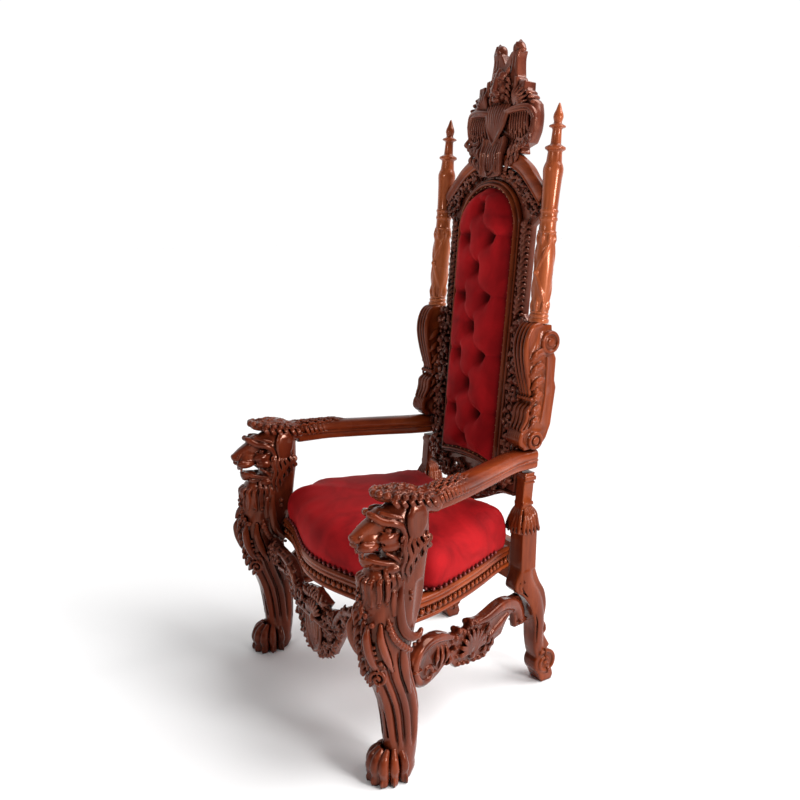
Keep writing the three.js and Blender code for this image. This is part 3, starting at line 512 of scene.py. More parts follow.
def leg_body(clay):
    """The S-shaped shaft from the ankle to the nape, with its grooves."""
    part, (x, y, z) = clay.whole()
    front, back, half = (np.interp(z, LEG_HEIGHTS, v).astype(np.float32) for v in (LEG_FRONTS, LEG_BACKS,
        LEG_HALVES))
    middle, depth = (front + back) / 2, (back - front) / 2
    squareness = np.interp(z, [100, 330, 420, 560, 700], [2.1, 2.4, 3.0, 3.4, 2.6]).astype(np.float32)
    u, v = np.abs(x) / half, np.abs(y - middle) / depth
    d = ((u**squareness + v**squareness) ** (1 / squareness) - 1) * np.minimum(half, depth)
    angle = np.degrees(np.arctan2(np.abs(x) / half * depth, middle - y))
    run = np.clip((z - 84) / 36, 0, 1) * np.clip((372 - z) / 60, 0, 1)
    turn = angle + (z - 190) * 0.045
    groove = sum(np.exp(-(((turn - a) / 5.0) ** 2)) for a in FLUTES)
    swell = sum(np.exp(-(((turn - a) / 10) ** 2)) for a in (30, 62, 91, 125))
    d = d + (8.0 * groove - 2.6 * swell) * run
    d = np.maximum(d, z - 738)
    clay.put(part, d.astype(np.float32), 0.5)


def flat_foot(clay):
    """Cuts the clay level, a hair above the floor."""
    part, (_, _, z) = clay.near(clay.low, (*(clay.low + clay.count * clay.size)[:2], 20))
    clay.d[part] = np.maximum(clay.d[part], GAP - z)


def lion_paw(clay):
    """Eight long toes with claws, round a pad."""
    for x, y, r in both_sides((9, -318, 11.5), (27, -306, 11.5), (36, -282, 10.5), (37, -256, 10)):
        k = hypot(x, y + 262)
        ox, oy = x / k, (y + 262) / k
        clay.stroke([(x - 17 * ox, y - 17 * oy, 84), (x - 3 * ox, y - 3 * oy, 68),
            (x + 3 * ox, y + 3 * oy, 46), (x - 1 * ox, y - 1 * oy, 26), (x + 1 * ox, y + 1 * oy, 8)],
            [7, r, r + 2.5, r + 1, r], [8, r + 1, r + 3, r + 1, r], side=(-oy, ox, 0), blend=2.0)
        clay.stroke([(x + 8 * ox, y + 8 * oy, 26), (x + 12 * ox, y + 12 * oy, 15),
            (x + 12.5 * ox, y + 12.5 * oy, 4)], [3, 4, 3], [4, 5, 3], side=(-oy, ox, 0))
    clay.ball((0, -240, 24), (34, 36, 30), blend=6)
    clay.stroke([(0, -300, 60), (0, -306, 44), (0, -304, 24)], [24, 28, 26], [14, 18, 16], blend=5)


def lion_knee(clay):
    """Scrolls, leaves, the C-shaped wing and the ruffle down the middle."""
    # the shoulder is cut back on its outer side, behind the C-shaped wing
    clay.stroke([(54, -200, 520), (54, -204, 480), (54, -208, 440), (54, -204, 424)], 32, 20,
        side=(0, 1, 0), blend=2, cut=True)
    for s in (-1, 1):
        # a drop-shaped groove down the front of the shin
        clay.stroke(sided(s, (9, -290, 228), (10, -288, 190), (11, -285, 150), (12, -283, 122)),
            [1.5, 3.5, 4.5, 4.5], [5, 7, 8, 7], side=(1, 0, 0), blend=2, cut=True)
        # volute below the knee, turned outwards
        centre = np.array([s * 25, -315, 303])
        out, across = np.array([s * 0.72, -0.69, 0]), np.array([s * 0.69, 0.72, 0])
        clay.ball(centre - 3 * out, (16, 16, 21), blend=3)
        ring = []
        for t in np.linspace(0, 1, 26):
            r, a = 19.5 * (1 - t) ** 0.9 + 2, radians(200 - 560 * t)
            ring.append(centre + out * (11 + 4 * t) + across * r * cos(a) + np.array([0, 0, r * sin(a)]))
        clay.stroke(ring, [5.4, 5, 4.4, 4], [6, 6, 6, 5], side=tuple(across), steps=60)
        # two plain leaves down the side of the knee, each in a dark groove
        for points, width in (([(31, -350, 446), (35, -356, 420), (35, -351, 386), (33, -338, 350),
            (30, -322, 326)], [5, 12, 13, 11, 4]),
            ([(44, -323, 446), (48, -326, 416), (48, -318, 384), (45, -304, 350), (41, -290, 318)],
            [5, 11, 12, 10, 4])):
            points = [(s * x, y, z) for x, y, z in points]
            clay.stroke(points, [w + 4 for w in width], [w * 0.4 + 3 for w in width],
                side=(s * 0.5, -0.85, 0), blend=1, cut=True)
            clay.stroke([(x + s * 1.5, y - 1, z) for x, y, z in points], width, [5, 9, 10, 8, 4],
                side=(s * 0.5, -0.85, 0))
        for x, y, z, r in ((41, -345, 450, 7), (47, -306, 436, 6.5), (40, -322, 346, 7),
            (33, -334, 336, 6.5), (44, -300, 340, 6.5), (38, -312, 332, 6), (42, -340, 394, 5),
            (42, -338, 380, 5), (41, -335, 366, 5)):
            clay.ball((s * x, y, z), r)
        # ridged band under the C-shaped wing
        band = [(46, -303, 452), (50, -298, 426), (51, -286, 402), (51, -267, 380), (49, -243, 362)]
        clay.stroke([(s * x, y, z) for x, y, z in band], [5, 8, 9, 9, 7], [5, 6, 6, 6, 5], side=(0, 1, 0),
            blend=1.0)
        path = curve([(s * x, y, z) for x, y, z in band], 12)
        for p, q in zip(path[1:-1], path[2:]):
            t = (q - p) / np.linalg.norm(q - p)
            n = np.array([0, -t[2], t[1]])
            clay.stroke([p - n * 8, p + [s * 5, 0, 0], p + n * 8], [2.4, 3.2, 2.4], blend=0.5, steps=6)
        clay.stroke(sided(s, (42, -262, 540), (47, -270, 506), (50, -272, 470), (51, -268, 436),
            (51, -256, 410), (50, -238, 395), (48, -221, 394), (46, -212, 404)),
            [4, 9, 12, 13, 13, 12, 9, 6], [4, 7, 9, 9, 9, 9, 8, 6], side=(0, 1, 0.2), blend=1.0, steps=40)
        for y, z, r in ((-219, 379, 6), (-231, 372, 5), (-240, 508, 6), (-240, 492, 5)):
            clay.ball((s * 46, y, z), r, blend=1.2)
        # flat rib behind the ridged band, that runs on down the shin
        clay.stroke(sided(s, (46, -262, 366), (45, -258, 330), (42, -250, 290), (38, -238, 240)),
            [9, 12, 10, 4], [6, 6, 5, 3], side=(0, 1, 0), blend=2.5)
    # ruffled leaf tips down the middle of the knee
    for k, (z, y) in enumerate(((466, -366), (444, -361), (421, -362), (397, -361), (373, -357),
        (350, -351), (328, -348), (306, -341), (286, -331), (270, -321))):
        big = 9 if k % 2 else 11
        x0 = (3, -3, 4, -2)[k % 4]
        clay.stroke(at_x(x0, (y + 14, z + 14), (y + 2, z + 7), (y - 4, z - 4)), [6, big, 4], [5, 8, 5],
            flutes=1, depth=1.4)
        for s in (-1, 1):
            zz, yy = z + (s * x0) * 1.5, y + 6
            clay.stroke(sided(s, (8, yy + 10, zz + 16), (16, yy + 2, zz + 7), (19, yy - 3, zz - 5)),
                [4, 8, 4], [4, 6, 4], side=(1, 0.3 * s, 0), blend=0.7, flutes=1, depth=1.2)
            if 330 < z < 470:
                clay.ball((s * 27, yy + 6, zz), (5.5, 5.5, 8), blend=0.7)


def lion_mantle(clay):
    """The beard: a heavy tuft of upright locks that ends in leaf tips over the knee."""
    clay.stroke([(0, -312, 545), (0, -318, 515), (0, -322, 482)], [37, 38, 33], [28, 32, 30], square=2.6,
        blend=2)
    for x, y, r in both_sides((0, -348, 9), (13, -346, 8.5), (26, -338, 9), (36, -322, 8.5), (41, -304, 8)):
        sway = 3 if round(abs(x) / 12) % 2 else -2
        turn = atan2(x, -(y + 300) * 1.2)
        ox, oy = sin(turn), -cos(turn)
        low = 474 + abs(x) * 0.5
        clay.stroke([(x * 0.9, y + 12, 556), (x + ox * 2 + sway * 0.5, y + oy * 2, 546), (x + sway, y, 518),
            (x - sway, y - 1, 492), (x + ox * 4, y + oy * 5, low)], [5, r, r, r - 1, 3], [5, 8, 8, 8, 4],
            side=(cos(turn), sin(turn), 0), blend=0.7, flutes=2, depth=2.2)
    for x, y, z, r in ((0, -357, 528, 5), (-6, -358, 517, 4.5), (7, -358, 515, 4.5), (0, -359, 504, 5.5),
        (-8, -357, 500, 4), (9, -357, 499, 4), (18, -350, 536, 5), (-18, -350, 536, 5)):
        clay.ball((x, y, z), (r, r * 0.8, r * 1.3))
    for x in (-12, 0, 12):
        clay.stroke([(x * 0.6, -346, 498), (x * 0.9, -358, 482), (x * 0.7, -366, 466 + abs(x))],
            [6, 8, 2.5], [6, 7, 3], flutes=1, depth=1.8)
    for s in (-1, 1):
        # curled locks between the jaw and the beard
        for y, z in ((-302, 560), (-286, 556), (-270, 552)):
            clay.stroke(sided(s, (30, y, z + 16), (39, y - 3, z + 2), (42, y - 1, z - 16),
                (40, y - 7, z - 32)), [5, 8, 8, 3], [5, 7, 7, 3], side=(0, 1, 0), flutes=2, depth=1.8)
        clay.stroke(sided(s, (44, -286, 520), (46, -288, 492), (47, -288, 462)), [7, 9, 5], [3, 4, 3],
            side=(0, 1, 0), blend=2)


def lion_mane(clay):
    """Locks down the side of the neck."""
    for s in (-1, 1):
        # wavy locks from the ear down to the shoulder; the neck behind and below them is plain
        for k, (y0, low) in enumerate(((-256, 548), (-243, 536), (-230, 552), (-217, 574), (-204, 590),
            (-192, 604))):
            wave = 4.5 if k % 2 else 3
            top = 664 - 3 * k
            points = []
            for t in np.linspace(0, 1, 9):
                z = top + (low - top) * t
                points.append((s * (43 + 4.5 * sin(pi * min(t * 1.1, 1)) - 1.0 * (k > 4)),
                    y0 + wave * sin(4.6 * pi * t + 0.7 * k) - 9 * t * (k < 4), z))
            clay.stroke(points, [4, 7, 8, 7.5, 7, 3], [4, 6, 7, 7, 6, 3], side=(0, 1, 0.1), blend=0.6,
                flutes=2, depth=2.0, steps=40)
        for y, z, r in ((-262, 646, 6), (-262, 630, 7), (-262, 612, 6.5), (-260, 594, 6.5), (-262, 576, 7)):
            clay.stroke(sided(s, (40, y + 6, z + 9), (45, y - 2, z + 3), (45, y - 5, z - 6)), [3, r, 3],
                [3, 5, 3], side=(0, 1, 1), blend=0.7, flutes=2, depth=1.4)


def lion_head(clay):
    """The face with its open mouth, and the ears."""
    clay.ball((0, -246, 676), (41, 60, 52), blend=4)
    # forehead and the long flat slope of the nose
    clay.ball((0, -296, 690), (30, 32, 26), blend=6)
    clay.stroke([(0, -300, 680), (0, -328, 670), (0, -350, 661), (0, -366, 655)], [26, 19, 15, 11],
        [24, 21, 17, 12], square=3.0, blend=5)
    clay.ball((0, -318, 645), (25, 44, 24), blend=6)
    # side hollows of the open mouth, and the slot between the lips
    clay.ball((0, -346, 611), (30, 22, 5.5), blend=2, cut=True)
    for s in (-1, 1):
        clay.ball((s * 42, -298, 603), (21, 25, 10), blend=2.5, cut=True)
        clay.ball((s * 30, -322, 608), (16, 24, 7), blend=2, cut=True)
    # lower jaw and chin
    clay.ball((0, -326, 594), (23, 25, 13), blend=3)
    clay.stroke([(-33, -268, 584), (-28, -304, 590), (-18, -334, 599), (0, -346, 602), (18, -334, 599),
        (28, -304, 590), (33, -268, 584)], [8, 7, 6, 6, 6, 7, 8], [9, 8, 6, 6, 6, 8, 9], side=(0, 0, 1),
        blend=2, steps=30)
    clay.ball((0, -336, 586), (13, 12, 9), blend=3)
    clay.ball((0, -296, 578), (30, 34, 14), blend=4)
    for s in (-1, 1):
        # whisker pad, and the fold of the cheek behind it
        clay.ball((s * 16, -338, 634), (17, 29, 13.5), blend=1.6)
        clay.ball((s * 20, -352, 638), (9, 12, 10), blend=2)
        clay.ball((s * 31, -282, 630), (13, 30, 15), blend=5)
        clay.ball((s * 30, -290, 650), (14, 28, 15), blend=5)
        clay.stroke(sided(s, (28, -318, 648), (34, -306, 638), (36, -304, 624)), 1.8, blend=1.6, cut=True)
        # corner of the mouth, and the muscle of the jaw
        clay.stroke(sided(s, (37, -302, 616), (42, -286, 606), (42, -272, 592), (38, -268, 580)),
            [3, 4.5, 4.5, 3], blend=1.2)
        clay.ball((s * 36, -256, 592), (10, 22, 22), blend=3)
        clay.ball((s * 34, -280, 574), (12, 24, 12), blend=3)
        # nostril
        clay.ball((s * 8, -365, 652), (7, 9, 8), blend=2)
        clay.ball((s * 8, -374, 648), (3.6, 5, 3.2), blend=1, cut=True)
        clay.stroke(sided(s, (12, -350, 667), (15, -357, 658), (14, -361, 648)), [2.5, 3.5, 2.5], blend=1.5)
        # deep eye under a heavy rolled brow
        clay.ball((s * 38, -291, 671), (15, 17, 10), blend=2, cut=True)
        clay.ball((s * 29, -292, 670), (9, 9, 7.5))
        clay.stroke(sided(s, (24, -308, 666), (35, -294, 660), (41, -276, 662)), [2.5, 3.5, 2.5], blend=1.2)
        clay.stroke(sided(s, (8, -330, 708), (20, -324, 704), (31, -306, 692), (39, -284, 687),
            (43, -266, 676), (43, -256, 656)), [8, 9, 9.5, 9.5, 8, 5], [8, 9, 9, 9, 8, 5], side=(0, 0, 1),
            blend=1.2, steps=34)
        clay.stroke(sided(s, (22, -308, 710), (34, -288, 704), (42, -266, 698)), [6, 7, 5], blend=2)
        # ear: an upright rounded flap, a little dished
        clay.stroke(sided(s, (43, -226, 648), (46, -225, 672), (46, -223, 694), (43, -221, 712)),
            [20, 28, 29, 22], [7, 8, 8, 7], side=(0, 1, 0), blend=1.0, square=2.6)
        clay.stroke(sided(s, (57, -224, 660), (59, -224, 682), (57, -222, 700)), [14, 20, 17], [6, 7.5, 6],
            side=(0, 1, 0), blend=2.5, cut=True, square=2.4)
    clay.ball((0, -370, 655), (10, 8, 7.5), blend=2.5)
    clay.stroke([(0, -379, 647), (0, -369, 636), (0, -360, 624)], 1.8, blend=1.5, cut=True)
    clay.stroke([(0, -322, 698), (0, -306, 706), (0, -290, 718)], 2.4, blend=3, cut=True)
    # teeth
    for x, y, z, r, drop in ((14, -352, 620, 4.0, -12), (-14, -352, 620, 4.0, -12),
        (13, -343, 603, 3.6, 10), (-13, -343, 603, 3.6, 10)):
        clay.stroke(at_x(x, (y, z), (y - 1, z + drop * 0.6), (y + 1, z + drop)), [r, r * 0.7, 1.0],
            blend=0.6)
    for x in (-8, -3, 3, 8):
        clay.ball((x, -357 + abs(x) * 0.4, 618), (2.5, 2.5, 4.5), blend=0.5)
        clay.ball((x, -349 + abs(x) * 0.4, 606), (2.4, 2.4, 4), blend=0.5)


def lion_tuft(clay):
    """A leafy cap over the brow, swept back to where the arm meets the crown."""
    clay.ball((0, -256, 742), (35, 56, 18), blend=3)
    clay.stroke([(0, -150, 706), (0, -180, 714), (0, -222, 728)], [26, 30, 35], [30, 28, 20], blend=4,
        square=2.6)
    for x, y, z, r in both_sides((0, -312, 752, 11), (14, -307, 753, 10), (27, -294, 751, 10),
        (36, -274, 746, 9), (38, -252, 742, 9), (38, -230, 738, 9), (36, -208, 734, 8), (33, -187, 730, 8)):
        clay.ball((x, y, z), (r, r, r * 0.95), blend=0.8)
    for j, y in enumerate(range(-300, -156, 15)):
        for k, x in enumerate((-26, -13, 0, 13, 26)):
            shift = 7 if (j + k) % 2 else 0
            yy = y + shift + abs(x) * 0.3
            top = 757 - 0.0034 * (yy + 268) ** 2 * (1 if yy > -268 else 2.2) - 0.012 * x * x
            top = max(top, 735 - 0.012 * x * x)
            clay.stroke([(x * 0.9, yy + 12, top - 1), (x, yy + 2, top + 4.5), (x * 1.06, yy - 7, top)],
                [3.5, 7.5, 3], [3, 5, 3], side=(1, 0, 0), blend=0.6, flutes=1, depth=1.6)
    for s in (-1, 1):
        for y, z in ((-284, 736), (-262, 732), (-240, 729), (-218, 726), (-196, 722), (-176, 718)):
            clay.stroke(sided(s, (30, y - 2, z + 8), (41, y + 2, z + 1), (43, y + 9, z - 10),
                (39, y + 14, z - 15)), [4, 8, 7, 3], [4, 6, 5, 3], side=(0, 1, 0.4), flutes=2, depth=1.4)


def lion():
    """The left leg, from paw to crown."""
    clay = Clay((-60, -402, -4), (60, -136, 776), 1.9)
    leg_body(clay)
    lion_paw(clay)
    lion_knee(clay)
    lion_mantle(clay)
    lion_head(clay)
    lion_mane(clay)
    lion_tuft(clay)
    flat_foot(clay)
    points, faces = clay.mesh()
    return points + [LION_X, 0, 0], faces


# ---------------------------------------------------------------- arms

ARM_ROUTE = [(360, -152, 0), (340, -60, 0), (288, 80, 0), (243, 200, 0), (235, 270, 0)]


def arm():
    """The left arm, from the lion's crown to the post."""
    clay = Clay((195, -164, 660), (400, 280, 752), 1.9)
    route = curve(ARM_ROUTE, 12)
    across = (0.95, 0.3, 0)
    at = lambda z, out=0.0: [(x + out * 0.95, y + out * 0.3, z) for x, y, _ in route]
    clay.stroke(at(717), [24, 27, 27, 26], [17, 19, 19, 19], side=across, square=2.4, blend=1, steps=30)
    clay.stroke(at(693), [22, 23, 23, 23], [19, 15, 14, 15, 17], side=across, square=3.2, blend=1, steps=30)
    for s in (-1, 1):
        clay.stroke(at(704, s * 25), 3.0, blend=1.2, steps=30)
        clay.stroke(at(709.5, s * 28), 1.8, blend=1.2, cut=True, steps=30)
        clay.stroke(at(698, s * 25.5), 2.2, blend=1.2, cut=True, steps=30)
    # small carved leaves over the front third
    for j, y in enumerate(range(-150, -44, 14)):
        x = float(np.interp(y, [-152, -60, 80], [360, 340, 288]))
        wide = 1 - 0.05 * j
        for k in (-2, -1, 0, 1, 2):
            shift = 6 if (j + k) % 2 else 0
            dx = k * 11 * wide
            top = 737 - 0.016 * dx * dx
            clay.stroke([(x + dx - 3, y + shift + 11, top), (x + dx, y + shift + 2, top + 4),
                (x + dx * 1.08 + 2, y + shift - 7, top)], [3, 7, 3], [3, 4.5, 3], side=(1, 0.2, 0),
                blend=0.7, flutes=1, depth=1.4)
        for s in (-1, 1):
            clay.stroke([(x + s * 22, y + 4, 728), (x + s * 30 * wide, y + 8, 718),
                (x + s * 31 * wide, y + 13, 706), (x + s * 27 * wide, y + 17, 698)], [4, 7, 6, 2],
                [3, 5, 4, 2], side=(0, 1, 0.2), flutes=2, depth=1.6)
    clay.stroke([(342, -56, 737), (334, -34, 738), (326, -12, 736)], [16, 10, 2], [4, 4, 2], side=across,
        blend=1, flutes=3, depth=1.6)
    return clay.mesh()


# ---------------------------------------------------------------- rear posts

def rear_post():
    """The left rear leg, up to the scroll bracket."""
    clay = Clay((180, 200, -4), (290, 396, 674), 2.0)
    back_line = [(284, 388), (304, 338), (327, 299), (336, 250), (328, 206), (323, 185), (335, 152),
        (356, 116)]
    fore_line = [(310, 70), (298, 102), (291, 140), (289, 196), (264, 279), (222, 316), (214, 336),
        (231, 388)]
    profile = flat_curve(fore_line, 32) + flat_curve(back_line, 34)
    clay.slab(profile, 0, 210, 260, blend=2, edge=7)
    clay.slab(ellipse(337, 64, 41, 40, 28), 0, 208, 262, blend=3, edge=8)
    clay.slab([(306, 44), (326, 0), (364, 0), (371, 14), (366, 34), (342, 60)], 0, 208, 262, blend=3,
        edge=4)
    for s in (-1, 1):
        x = POST_X + s * 26
        spiral = []
        for t in np.linspace(0, 1, 26):
            r, a = 33 * (1 - t) + 6, radians(120 - 560 * t)
            spiral.append((x + s * 1.5, 337 + r * cos(a), 65 + r * sin(a)))
        clay.stroke(spiral, [6, 5.5, 4.5], [4.5, 4.5, 4], side=(0, 1, 0), steps=64)
        clay.ball((x, 337, 65), (7, 10, 10), blend=1)
        # rounded rib down the outer face, and a sunk line beside it
        clay.stroke([(x - s * 3, 250, 376), (x - s * 2, 254, 334), (x - s * 1, 290, 274),
            (x - s * 1, 307, 208), (x - s * 2, 310, 142), (x - s * 3, 322, 110)], [22, 27, 23, 18, 15, 9],
            [7, 9, 8, 7, 6, 4], side=(0, 1, 0), blend=4, steps=30)
        clay.stroke(at_x(x + s * 1, (228, 346), (242, 316), (276, 278), (296, 215), (298, 140)),
            [2.4, 3.4, 3.4, 2], blend=1.5, cut=True, steps=30)
        clay.stroke(at_x(x, (236, 318), (230, 334), (238, 348), (252, 344), (250, 330), (241, 332)),
            [5, 5, 4, 3], [3, 3, 3, 2], side=(0, 1, 0), blend=1.6, steps=30)
    clay.stroke(at_x(POST_X, (318, 206), (330, 190), (334, 172), (326, 162), (320, 170)), [25, 25, 25],
        [6, 8, 6], side=(1, 0, 0), blend=2, square=3)
    clay.slab([(231, 380), (231, 500), (285, 500), (285, 380)], 0, 208, 262, blend=3, edge=3)
    # slender shaft, ring and the collar of hanging leaves
    def line(z, offset):
        return BACK_AT_FLOOR + LEAN * z + 14 + offset
    clay.slab([(line(560, -20), 560), (line(667, -20), 667), (line(667, 16), 667), (line(560, 16), 560)], 0,
        218, 252, blend=2, edge=3)
    for z, r, t in ((651, 20.5, 6), (638, 18.5, 3), (578, 19.5, 5)):
        y = line(z, 0)
        clay.slab([(y - r, z - t), (y - r, z + t), (y + r, z + t), (y + r, z - t)], 0, POST_X - r,
            POST_X + r, blend=1, edge=2.5)
    for k, z in enumerate((505, 520, 535, 550, 565)):
        y, r = line(z, 3 - k), 34 - 4.5 * k
        clay.slab([(y - r, z - 9), (y - r, z + 9), (y + r, z + 9), (y + r, z - 9)], 0, POST_X - r,
            POST_X + r, blend=6, edge=6)
    top, low = line(566, 0), line(500, 4)
    for ax, ay in ((1, 0), (-1, 0), (0, 1), (0, -1)):
        for off in (-24, -12, 0, 12, 24):
            sx, sy = -ay, ax
            reach = 41 - abs(off) * 0.12
            drop = 497 + abs(off) * 0.2
            clay.stroke([(POST_X + ax * 14 + sx * off * 0.45, top + ay * 14 + sy * off * 0.45, 572),
                (POST_X + ax * 27 + sx * off * 0.75, top + 2 + ay * 27 + sy * off * 0.75, 548),
                (POST_X + ax * (reach - 5) + sx * off, low + ay * (reach - 5) + sy * off, 520),
                (POST_X + ax * reach + sx * off * 1.15, low + ay * reach + sy * off * 1.15, drop)],
                [4, 6.5, 8, 5], [3, 5, 5, 3.5], side=(sx, sy, 0), flutes=1, depth=1.2)
    flat_foot(clay)
    part, (x, y, z) = clay.near((180, 200, 655), (290, 396, 674))
    clay.d[part] = np.maximum(clay.d[part], z - 667.6)
    return clay.mesh()


# ---------------------------------------------------------------- scroll brackets

def bracket():
    """The left scroll bracket, between the post and the column."""
    clay = Clay((192, 190, 732), (280, 346, 1092), 2.0)

    def at(u, z):
        return (BACK_AT_FLOOR + LEAN * z + u, z)

    front = [at(-26, 738), at(-36, 752), at(-40, 768), at(-36, 792), at(-20, 826), at(-12, 880),
        at(-22, 930), at(-40, 975), at(-46, 1020), at(-42, 1056), at(-24, 1078)]
    body = flat_curve(front, 40) + [at(0, 1083), at(30, 1078), at(44, 1010), at(58, 985), at(60, 925),
        at(68, 905), at(62, 800), at(50, 765), at(30, 740)]
    clay.slab(body, 0, 210, 260, blend=2, edge=3)
    for s in (-1, 1):
        x = POST_X + s * 25
        # round ends of the scrolls: a rolled rim, a sunk ring and a raised button
        for u, z, r in ((27, 1032, 31), (7, 763, 25)):
            y = at(u, z)[0]
            ring = lambda q, out: [(x + s * out, y + q * cos(a), z + q * sin(a)) for a in np.linspace(0,
                2 * np.pi, 24)]
            clay.slab(ellipse(y, z, r - 2, r - 2, 32), 0, min(x - s * 4, x + s * 4),
                max(x - s * 4, x + s * 4), blend=1, edge=2)
            clay.stroke(ring(r - 4.5, 3), 5.6, steps=48)
            clay.stroke(ring(r - 12, 5), 2.6, blend=1.0, cut=True, steps=48)
            clay.slab(ellipse(y, z, 11.5, 11.5, 32), 0, min(x, x + s * 9), max(x, x + s * 9), blend=0.6,
                edge=3.5)
        # line sunk beside the rear edge of a plain board
        clay.stroke(at_x(x + s, at(36, 1000), at(46, 978), at(49, 930), at(55, 898), at(51, 800),
            at(38, 770)), 2.0, 2.6, blend=1, cut=True, steps=40)
        # smooth leaves on the front half, that turn forward and down
        for (u, z), reach, wide in (((16, 1000), 54, 12), ((18, 962), 52, 12), ((22, 924), 46, 12),
            ((20, 884), 40, 11), ((18, 848), 40, 11), ((14, 816), 34, 10)):
            y, z0 = at(u, z)
            clay.stroke([(x - s, y, z0), (x + s * 3, y - reach * 0.3, z0 + 8),
                (x + s * 5, y - reach * 0.7, z0 + 2), (x + s * 2, y - reach, z0 - 16)],
                [4, wide, wide - 1, 4], [3, 5, 6, 4], side=(0, 0.5, 1), flutes=3, depth=1.6, steps=16)
        clay.stroke(at_x(x + s, at(22, 990), at(26, 940), at(28, 880), at(22, 812)), [4, 4, 4, 3],
            [4, 4, 4, 3], steps=30)
        clay.ball((x + s * 3, *at(-8, 904)), (9, 9, 9))
        clay.ball((x + s * 3, *at(-2, 880)), (7, 8, 8))
    # fluted tongue down the front
    down = lambda x, *places: at_x(POST_X + x, *[at(u, z) for u, z in places])
    for x in (-20, -7, 7, 20):
        tongue = down(x, (-8, 1082), (-34, 1074), (-48, 1046), (-49, 1005))
        tongue += down(x * 0.95, (-36, 950)) + down(x * 0.8, (-18, 892))
        clay.stroke(tongue, [7.2, 7.4, 7.4, 7.4, 6.5, 5], [8, 9, 9, 9, 8, 5], blend=0.4, steps=30)
    for x in (-13.5, 0, 13.5):
        groove = down(x, (-38, 1074), (-54, 1046), (-55, 1005), (-42, 950)) + down(x * 0.9, (-24, 900))
        clay.stroke(groove, [1.6, 2.4, 2.4, 2.2, 1.4], [5, 7, 7, 6, 4], cut=True, steps=30)
    # beaded band, drooping leaves and the ribbed roll at the foot
    for x in (-25, -15, -5, 5, 15, 25):
        clay.ball((POST_X + x, *at(-20, 880)), (5.4, 6.5, 6.5), blend=0.5)
    for x in (-21, -7, 7, 21):
        leaf = down(x, (-10, 866)) + down(x * 1.1, (-28, 850), (-30, 826)) + down(x, (-42, 798))
        clay.stroke(leaf, [5, 8.5, 8.5, 5], [5, 7, 7, 5], blend=0.7, flutes=2, depth=2.2)
    for x in (-24, -16, -8, 0, 8, 16, 24):
        clay.stroke(down(x, (-22, 796), (-40, 786), (-42, 764), (-24, 748)), [4.4, 5, 5, 4.4], [6, 8, 8, 6],
            blend=0.5, steps=14)
    part, (x, y, z) = clay.near((192, 190, 728), (280, 346, 745))
    clay.d[part] = np.maximum(clay.d[part], 738 + GAP - z)
    return clay.mesh()


# ---------------------------------------------------------------- columns

COLUMN = [(0, 1083), (27, 1083), (28, 1088), (28, 1093), (24, 1097), (26, 1101), (26, 1105), (22, 1109),
    (22.5, 1124), (25, 1180), (26, 1225), (24, 1290), (22, 1340), (22, 1350), (24.5, 1353), (24.5, 1358),
    (22.5, 1360), (22.5, 1371), (24.5, 1373), (24.5, 1378), (22, 1381), (23, 1420), (25, 1460),
    (26.5, 1474), (26.5, 1483), (24, 1492), (20.5, 1500), (19.5, 1512), (18.5, 1524), (20, 1527),
    (26, 1530), (27.5, 1533.5), (26, 1537), (20, 1540), (14, 1543), (13, 1560), (12, 1580), (14, 1583),
    (21, 1585.5), (22, 1588), (20, 1590.5), (12, 1594), (10, 1598), (12, 1605), (13.5, 1611), (12, 1619),
    (8, 1628), (5, 1638), (2.5, 1645), (0, 1647)]


def column():
    """The left turned column, wound with ribbons."""
    clay = Clay((-34, -34, lifted(1078)), (34, 34, lifted(1652)), 1.9)
    part, (x, y, z) = clay.whole()
    d = polygon_distance([(r, lifted(h)) for r, h in COLUMN], np.sqrt(x * x + y * y), z)
    clay.put(part, d.astype(np.float32), 0.1)
    # two flat ribbons that wind up the shaft the opposite ways, and a small boss at their crossing
    on = lambda a, h, r: (r * sin(a), -r * cos(a), lifted(h))
    for way in (-1, 1):
        for start in (0, pi):
            ribbon = [on(start + way * (h - 1216) / 98 * pi / 2, h,
                24.5 - 0.0003 * (h - 1220) ** 2) for h in range(1118, 1319, 8)]
            clay.stroke(ribbon, [5, 7, 7, 7, 5], [2.4, 3.6, 3.8, 3.6, 2.4], side=(0, 0, 1), blend=0.6,
                steps=60, flutes=1, depth=1.2)
    for k in range(8):
        a = 2 * pi * (k + 0.5) / 8
        for root, way in ((1112, 1), (1322, -1)):
            clay.stroke([on(a, root, 22), on(a, root + way * 18, 24.5), on(a, root + way * 38, 22)],
                [6, 7, 2], [3, 4, 2], side=(cos(a), sin(a), 0), blend=0.6, flutes=1, depth=1.6)
    for a in (0, pi):
        clay.ball(on(a, 1216, 26), (9, 5, 11))
        clay.ball(on(a, 1216, 30), (4.5, 4, 5))
    for h in (1112, 1322):
        clay.stroke([(23 * sin(a), -23 * cos(a), lifted(h)) for a in np.linspace(0, 2 * pi, 20)], 2.4,
            steps=40)
    points, faces = clay.mesh()
    return lean(points + [COLUMN_X, 0, 0.3]), faces


# ---------------------------------------------------------------- arch, panel frame, pierced carving

ARCH_OVER = [(209, 1440), (182, 1462), (152, 1494), (100, 1527.5)]
ARCH_UNDER = [(209, 1386.5), (160, 1434.5), (118, 1470.5), (64, 1494.5), (0, 1502.5)]


